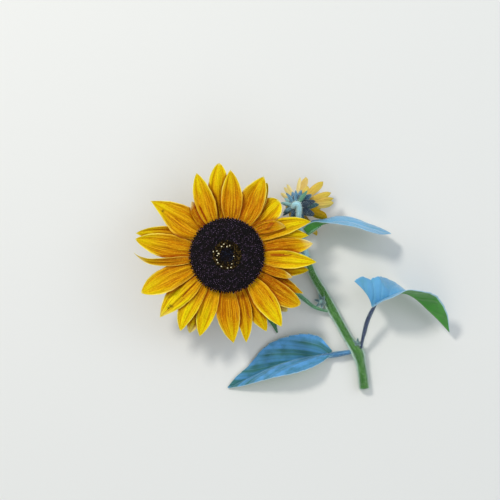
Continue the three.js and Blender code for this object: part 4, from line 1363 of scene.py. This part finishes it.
leafForm = {
    "rows": 132,
    "half": 26,
    "teeth": 15,
    "toothDepth": 0.04,
    "arch": 0.05,
    "quilt": 0.02,
    "ruffle": 0.03,
    "thickness": 0.42,
    "stalkSteps": 44,
    "stalkSides": 20,
    "stalkRidges": (0.03, 6),
    "seed": 61,
    "hairs": (1.5, 0.7, 1.7),
}
leaves = {
    "leafLowerLeft": {
        "node": "leaf_lower_left", "petiole": "blue", "look": "blue", "veins": (3.4, 1.9), "base": 0.5,
        "glow": (1, 0.1), "bands": 1,
        "stalk": [
            (103, -79.2, 5.4, 1.7), (97, -80.4, 5.4, 2), (90, -81.6, 4.8, 2.4), (83, -82.8, 3.8, 2.1),
            (74, -83.6, 2.6, 1),
        ],
        "rib": [
            (86, -81, 4.2, 3, 57, 3, 20), (81.5, -81.7, 3.6, 4.8, 56, 10.5, 15),
            (77, -82.3, 3, 9.6, 57, 15.8, 12), (67, -83.8, 2.3, 17, 61, 19.6, 8),
            (54, -86.6, 1.8, 20, 64, 20.4, 6), (39, -91.4, 1.5, 19, 66, 18.4, 5),
            (22, -99.3, 1.3, 12, 64, 10, 4), (9, -105.4, 1.2, 5.5, 60, 5.5, 4),
            (0, -109.5, 1.2, 0.6, 60, 0.6, 4),
        ],
    },
    "leafRight": {
        "node": "leaf_right", "petiole": "purple", "look": "sky", "veins": (6.0, 1.9), "base": 2.4,
        "glow": (0.8, 0.8), "bands": 0.3, "hem": 0.07,
        "stalk": [
            (109, -77, 7.2, 1.2), (110.5, -68.5, 11, 1.35), (111.7, -62.4, 14, 1.75),
            (113.4, -54.6, 17.8, 1.85), (116.6, -46.4, 20.9, 1.7), (120.6, -39.6, 22.4, 0.9),
        ],
        "rib": [
            (116.8, -42, 22.2, 26, 10, 7, 90), (120.9, -39.2, 22.6, 25.4, 4, 13, 90),
            (124.4, -37.3, 22.7, 20, 0, 15.5, 90), (127.2, -35.8, 22.8, 19.6, -4, 18, 90),
            (130.8, -34.2, 22.9, 18.8, -10, 19.5, 91), (134.4, -32.6, 22.8, 19, -40, 20, 92),
            (139, -31.2, 22.4, 19, -64, 20, 93), (144, -31, 21.8, 18.6, -80, 20, 98),
            (151, -34.2, 20.3, 17, -84, 19.5, 108), (156.5, -38.4, 19, 15.5, -82, 19.2, 124),
            (162, -43.6, 17.2, 13.4, -78, 17.5, 136), (172, -53, 13.2, 8, -70, 12, 136),
            (181.5, -63.2, 9, 0.6, -60, 0.6, 130),
        ],
    },
    "leafUpperRight": {
        "node": "leaf_upper_right", "petiole": "leafy", "look": "sky", "veins": (5.0, 1.9), "base": 0.5,
        "glow": (1, 1), "bands": 0.3,
        "stalk": [(60.5, 14.6, 18.2, 1.5), (63.4, 16, 19.4, 1.6), (68, 19, 21, 1.4), (75, 23.4, 23, 0.8)],
        "rib": [
            (64.5, 16.6, 20.4, 5, -45, 7.5, 141), (68.5, 19.6, 21.6, 9.2, -44, 8.6, 141),
            (72.8, 22.4, 22.7, 9.2, -45, 6.9, 141), (77.8, 24.9, 23.6, 10, -64, 6.5, 104),
            (82.5, 26.1, 24, 12, -70, 9, 86), (86, 27.1, 24, 13.5, -71.5, 11, 80),
            (89.5, 27.9, 23.6, 13.8, -74, 12.5, 77), (97, 27.4, 22.9, 14, -74, 13.4, 75),
            (105, 25.5, 21.9, 13.4, -73.5, 13.6, 75), (113, 22.8, 20.7, 12.6, -73, 15, 75),
            (119.5, 21, 19.4, 11.5, -72.5, 14, 75), (126, 19.1, 17.8, 8, -72, 9, 75),
            (133, 17.4, 16.2, 0.6, -72, 0.6, 76),
        ],
    },
    "leafBehindBloom": {
        "node": "leaf_behind_bloom", "petiole": "leafy", "look": "green", "veins": (6.0, 1.9), "base": 0.5,
        "glow": (0, 0), "bands": 0.5,
        "stalk": [
            (84.5, -46.4, 4.6, 1.2), (77, -45, 5.6, 1.3), (70.1, -42.2, 6.4, 1.6), (62, -35.8, 7.4, 1.9),
            (53.5, -30.2, 7.8, 1.8), (44.5, -33, 6, 0.8),
        ],
        "rib": [
            (49.6, -29.4, 7.6, 4, 16, 6, 16), (44.6, -32.6, 6.2, 6.5, 12, 11, 12),
            (40, -39, 4.4, 7.5, 10, 13, 10), (37.2, -48, 2.6, 5, 8, 8, 8), (38.2, -57, 1.5, 2, 6, 2.4, 6),
            (40.8, -64.2, 0.9, 0.6, 0, 0.6, 0),
        ],
    },
}


# Evenly spaced values along a curve through rows of numbers
def smoothValues(values, steps):
    values = np.asarray(values, float)
    ends = np.concatenate([[2 * values[0] - values[1]], values, [2 * values[-1] - values[-2]]])
    u = np.linspace(0, len(values) - 1, steps + 1)
    i = np.minimum(u.astype(int), len(values) - 2)
    t = (u - i)[:, None]
    a, b, c, d = ends[i], ends[i + 1], ends[i + 2], ends[i + 3]
    return b + 0.5 * t * (c - a + t * (2 * a - 5 * b + 4 * c - d + t * (3 * (b - c) + d - a)))


def bladeGrid(leaf, rng):
    rib = np.asarray(leaf["rib"], float)
    rows, half = leafForm["rows"], leafForm["half"]
    path, _ = smoothPath(rib, rows)
    sizes = smoothValues(rib[:, 3:], rows)
    along = unit(np.gradient(path, axis=0))
    level = unit(np.cross(up, along))
    s = np.linspace(0, 1, rows + 1)[:, None]
    t = np.linspace(-1, 1, 2 * half + 1)[None, :]
    grid = np.zeros((rows + 1, 2 * half + 1, 3))
    widths = np.maximum(sizes[:, 0::2], 0.5)
    phase = rng.uniform(0, 2 * math.pi, 4)
    for side, columns, width, angle in (
        (1, t[0] >= 0, widths[:, :1], sizes[:, 1:2]),
        (-1, t[0] < 0, widths[:, 1:], sizes[:, 3:4]),
    ):
        turned = np.radians(angle)
        out = side * level * np.cos(turned) + up * np.sin(turned)
        tooth = (s * leafForm["teeth"] + 0.3 * side) % 1
        share = np.abs(t[:, columns])
        depth = leafForm["toothDepth"] * (tooth - 0.5) * smooth((1 - s) / 0.1) * smooth(s / 0.12)
        reach = width * share * (1 + depth * share ** 4)
        normal = side * np.cross(along, out)
        bulge = leafForm["arch"] * width * np.sin(math.pi * share) * 0.8
        wave = leafForm["ruffle"] * width * share ** 2 * np.sin(2 * math.pi * 2.3 * s + phase[0] + side)
        offset = bulge + wave
        moved = reach[..., None] * out[:, None] + offset[..., None] * normal[:, None]
        grid[:, columns] = path[:, None] + moved
    bay = leaf["base"] * np.sin(math.pi * np.abs(t) ** 0.85) * smooth((0.16 - s) / 0.16)
    grid = grid + bay[..., None] * along[:, None]
    wide = np.where(t > 0, widths[:, :1], widths[:, 1:]) / widths.max()
    count, lag = leaf["veins"]
    veins = s * count - lag * np.abs(t) ** 0.85 * wide
    gap = np.abs((veins % 1) - 0.5) * 2  # 1 on a side vein, 0 half-way between two
    middle = np.exp(-(np.abs(t) * wide / 0.05) ** 2)
    relief = -np.maximum(smooth((gap - 0.6) / 0.4) * smooth((1 - np.abs(t)) / 0.25), middle)
    normal = unit(np.cross(np.gradient(grid, axis=0), np.gradient(grid, axis=1)))
    grid = grid + normal * (relief * leafForm["quilt"] * widths.max() * wide)[..., None]
    # How much painted sky sheen each part carries: the left share on the left half, the right share on the
    # right half growing towards the margin, less at the base and towards the tip
    left, right = leaf["glow"]
    glow = np.where(t > 0, left, right + (1 - right) * left * smooth((np.abs(t) - 0.4) / 0.5))
    values = {
        "veins": veins + 20 * (t > 0),
        "middle": middle,
        "glow": glow * mix(0.5, 1, smooth(s / 0.3)) * mix(1, 0.2, smooth((s - 0.6) / 0.4)),
        "bands": np.full(grid.shape[:2], leaf["bands"]),
        "hem": np.full(grid.shape[:2], leaf.get("hem", 0)),
        "own": np.full(grid.shape[:2], rng.uniform(0, 20)),
    }
    return grid, np.stack(np.broadcast_arrays((t + 1) / 2, s), -1), values


# In the sky and blue looks the blue is the sky's reflection painted into the blade: sheen is a painted sheen,
# and body and deep are tinted by it too; the green look keeps the leaf's own colours
leafPaint = {
    "sky": (paint(96, 168, 214), paint(80, 148, 192), paint(84, 154, 172)),
    "blue": (paint(94, 170, 234), paint(60, 126, 158), paint(40, 108, 106)),
    "green": (paint(60, 124, 64), paint(58, 116, 54), paint(44, 94, 40)),
    "under": paint(46, 138, 14),
    "underVein": paint(120, 168, 90),
    "vein": paint(132, 186, 214),
    "rim": paint(176, 212, 232),
}


def makeLeafMaterial(name, sheen, body, deep):
    settings = {"Roughness": 0.5, "Specular IOR Level": 0.45, "Sheen Weight": 0.3}
    material, tree, shader = newMaterial(name, settings)
    mottle, grain = tissueOf(tree, 0.0012)
    edge = edgeOf(tree, flowMap(tree)[1])
    veins, glow = meshValue(tree, "veins"), meshValue(tree, "glow")
    gap = maths(tree, "ABSOLUTE", minus(tree, maths(tree, "FRACT", veins), 0.5))
    lateral = times(tree, remap(tree, gap, 0.44, 0.5), remap(tree, edge, 1.0, 0.6))
    middle = remap(tree, meshValue(tree, "middle"), 0.5, 0.9)
    vein = maths(tree, "MAXIMUM", times(tree, lateral, 0.2), times(tree, middle, 0.3))
    patches = cloud(tree, addNode(tree, "ShaderNodeTexCoord")["Object"], 70.0, 3.0, 0.6)
    # The painted sky sheen, in patches, as strong as the mesh value says
    paintedLight = times(tree, remap(tree, patches, 0.3, 0.6, 0.35, 1.0), remap(tree, glow, 0.0, 1.0, 0.3, 1.0))
    # Darker bands that follow the side veins, which are sunk into the blade: painted shade in the grooves,
    # weaker where the painted sky sheen is strong
    banded = times(tree, remap(tree, gap, 0.08, 0.38), remap(tree, patches, 0.3, 0.6, 0.35, 0.95))
    ridges = maths(tree, "SINE", times(tree, veins, 6 * math.pi))
    banded = plus(tree, banded, remap(tree, ridges, -0.2, 0.9, 0.0, 0.35))
    banded = times(tree, banded, meshValue(tree, "bands"))
    banded = times(tree, banded, remap(tree, glow, 0.3, 1.0, 1.0, 0.35))
    above = blendColours(
        tree, body,
        (paintedLight, sheen),
        (banded, deep),
        (remap(tree, mottle, 0.4, 0.75, 0.0, 0.5), deep),
        (times(tree, vein, remap(tree, glow, 0.0, 0.2, 0.3, 1.0)), leafPaint["vein"]),
    )
    hemmed = plus(tree, edge, meshValue(tree, "hem"))
    below = blendColours(
        tree, leafPaint["under"],
        (times(tree, vein, 0.8), leafPaint["underVein"]),
        (remap(tree, mottle, 0.35, 0.75, 0.0, 0.4), leafPaint["green"][2]),
        (remap(tree, hemmed, 0.95, 0.99, 0.0, 0.7), leafPaint["rim"]),
    )
    colour = blendColours(
        tree, below,
        (remap(tree, meshValue(tree, "upper"), 0.45, 0.55), above),
        (remap(tree, edge, 0.965, 1.0, 0.0, 0.75), leafPaint["rim"]),
    )
    dress(tree, shader, colour, minus(tree, times(tree, grain, 0.5), times(tree, vein, 0.7)), 0.0005, 0.7)
    tree.links.new(remap(tree, grain, 0.3, 0.7, 0.42, 0.62), shader.inputs["Roughness"])
    return material


# The fourth number of each is how strong the pale painted sheen on the flanks is, which partly stands for
# hairs
petiolePaint = {  # body, pale lines, dark lines, and how pale the flanks are
    # The blue of this petiole is the sky's reflection, painted in
    "blue": (paint(60, 120, 164), paint(98, 154, 198), paint(42, 80, 120), 0.12),
    "leafy": (paint(84, 142, 98), paint(128, 178, 138), paint(56, 104, 62), 0.6),
    "purple": (paint(50, 62, 94), paint(82, 100, 132), paint(36, 40, 66), 0.08),
}
petioleMaterials = {
    look: makeStemMaterial(f"{look}Petiole", *paints) for look, paints in petiolePaint.items()
}
leafMaterials = {look: makeLeafMaterial(f"{look}Leaf", *leafPaint[look]) for look in ("sky", "blue", "green")}


def makeLeaves():
    rng = np.random.default_rng(leafForm["seed"])
    for seed, (name, leaf) in enumerate(leaves.items(), 70):
        grid, flow, values = bladeGrid(leaf, rng)
        blade = bladePart(grid, leafForm["thickness"], flow, values)
        counts = (leafForm["stalkSteps"], leafForm["stalkSides"])
        petiole = stemPart(leaf["stalk"], *counts, *leafForm["stalkRidges"], slot=1)
        skins = [leafMaterials[leaf["look"]], petioleMaterials[leaf["petiole"]]]
        piece = makePiece(name, [blade, petiole], skins)
        finishPiece(piece, "leaf", leaf["node"])
        bare = makePiece(f"{name}Stalk", [petiole], [stemMaterial])
        addHairs(f"{name}Hairs", bare, "leaf", seed, *leafForm["hairs"])
        bpy.data.objects.remove(bare)


makeLeaves()
print("leaves set")

# Young shoots in two of the axils

shoots = {
    "shootMiddle": {
        "node": "shoot_middle", "at": (77, -38.4, 6.6), "heading": 165, "lift": 52, "length": 9.6,
        "leaflets": 6,
    },
    "shootLower": {
        "node": "shoot_lower", "at": (106.4, -72.2, 8.6), "heading": 85, "lift": 50, "length": 6.6,
        "leaflets": 5,
    },
}
shootHairs = (1.6, 0.5, 1.3)


def makeShoots():
    material = makeBractMaterial("shootGreen", paint(70, 104, 126), paint(186, 230, 220), paint(26, 50, 64))
    rng = np.random.default_rng(81)
    for seed, (name, form) in enumerate(shoots.items(), 82):
        heading, lean = math.radians(form["heading"]), math.radians(90 - form["lift"])
        spin = np.array([
            [math.cos(heading), -math.sin(heading), 0], [math.sin(heading), math.cos(heading), 0], [0, 0, 1],
        ])
        tip = np.array([[math.cos(lean), 0, math.sin(lean)], [0, 1, 0], [-math.sin(lean), 0, math.cos(lean)]])
        length = form["length"]
        core = [(0, -0.45), (0.13, -0.4), (0.16, -0.3), (0.17, 0), (0.14, 0.15), (0, 0.28)]
        parts = [lathePart([(r * length, h * length) for r, h in core], 12)]
        for layer, (share, slopes) in enumerate(((1.0, (14, 34)), (0.6, (46, 72)))):
            for i in range(form["leaflets"]):
                azimuth = (i + layer / 2) * 360 / form["leaflets"]
                parts.append(bractPart(
                    azimuth, (length * 0.05, -length * 0.1), length * 0.72 * share * rng.uniform(0.9, 1.0),
                    length * 0.36 * share, slopes, rows=14, thickness=0.4, cup=18, own=rng.uniform(0, 20),
                ))
        piece = makePiece(name, [turnPart(p, spin @ tip, np.array(form["at"])) for p in parts], [material])
        finishPiece(piece, "shoot", form["node"])
        addHairs(f"{name}Hairs", piece, "shoot", seed, *shootHairs)


makeShoots()
print("shoots set")

bpy.data.objects.remove(hairTemplate)
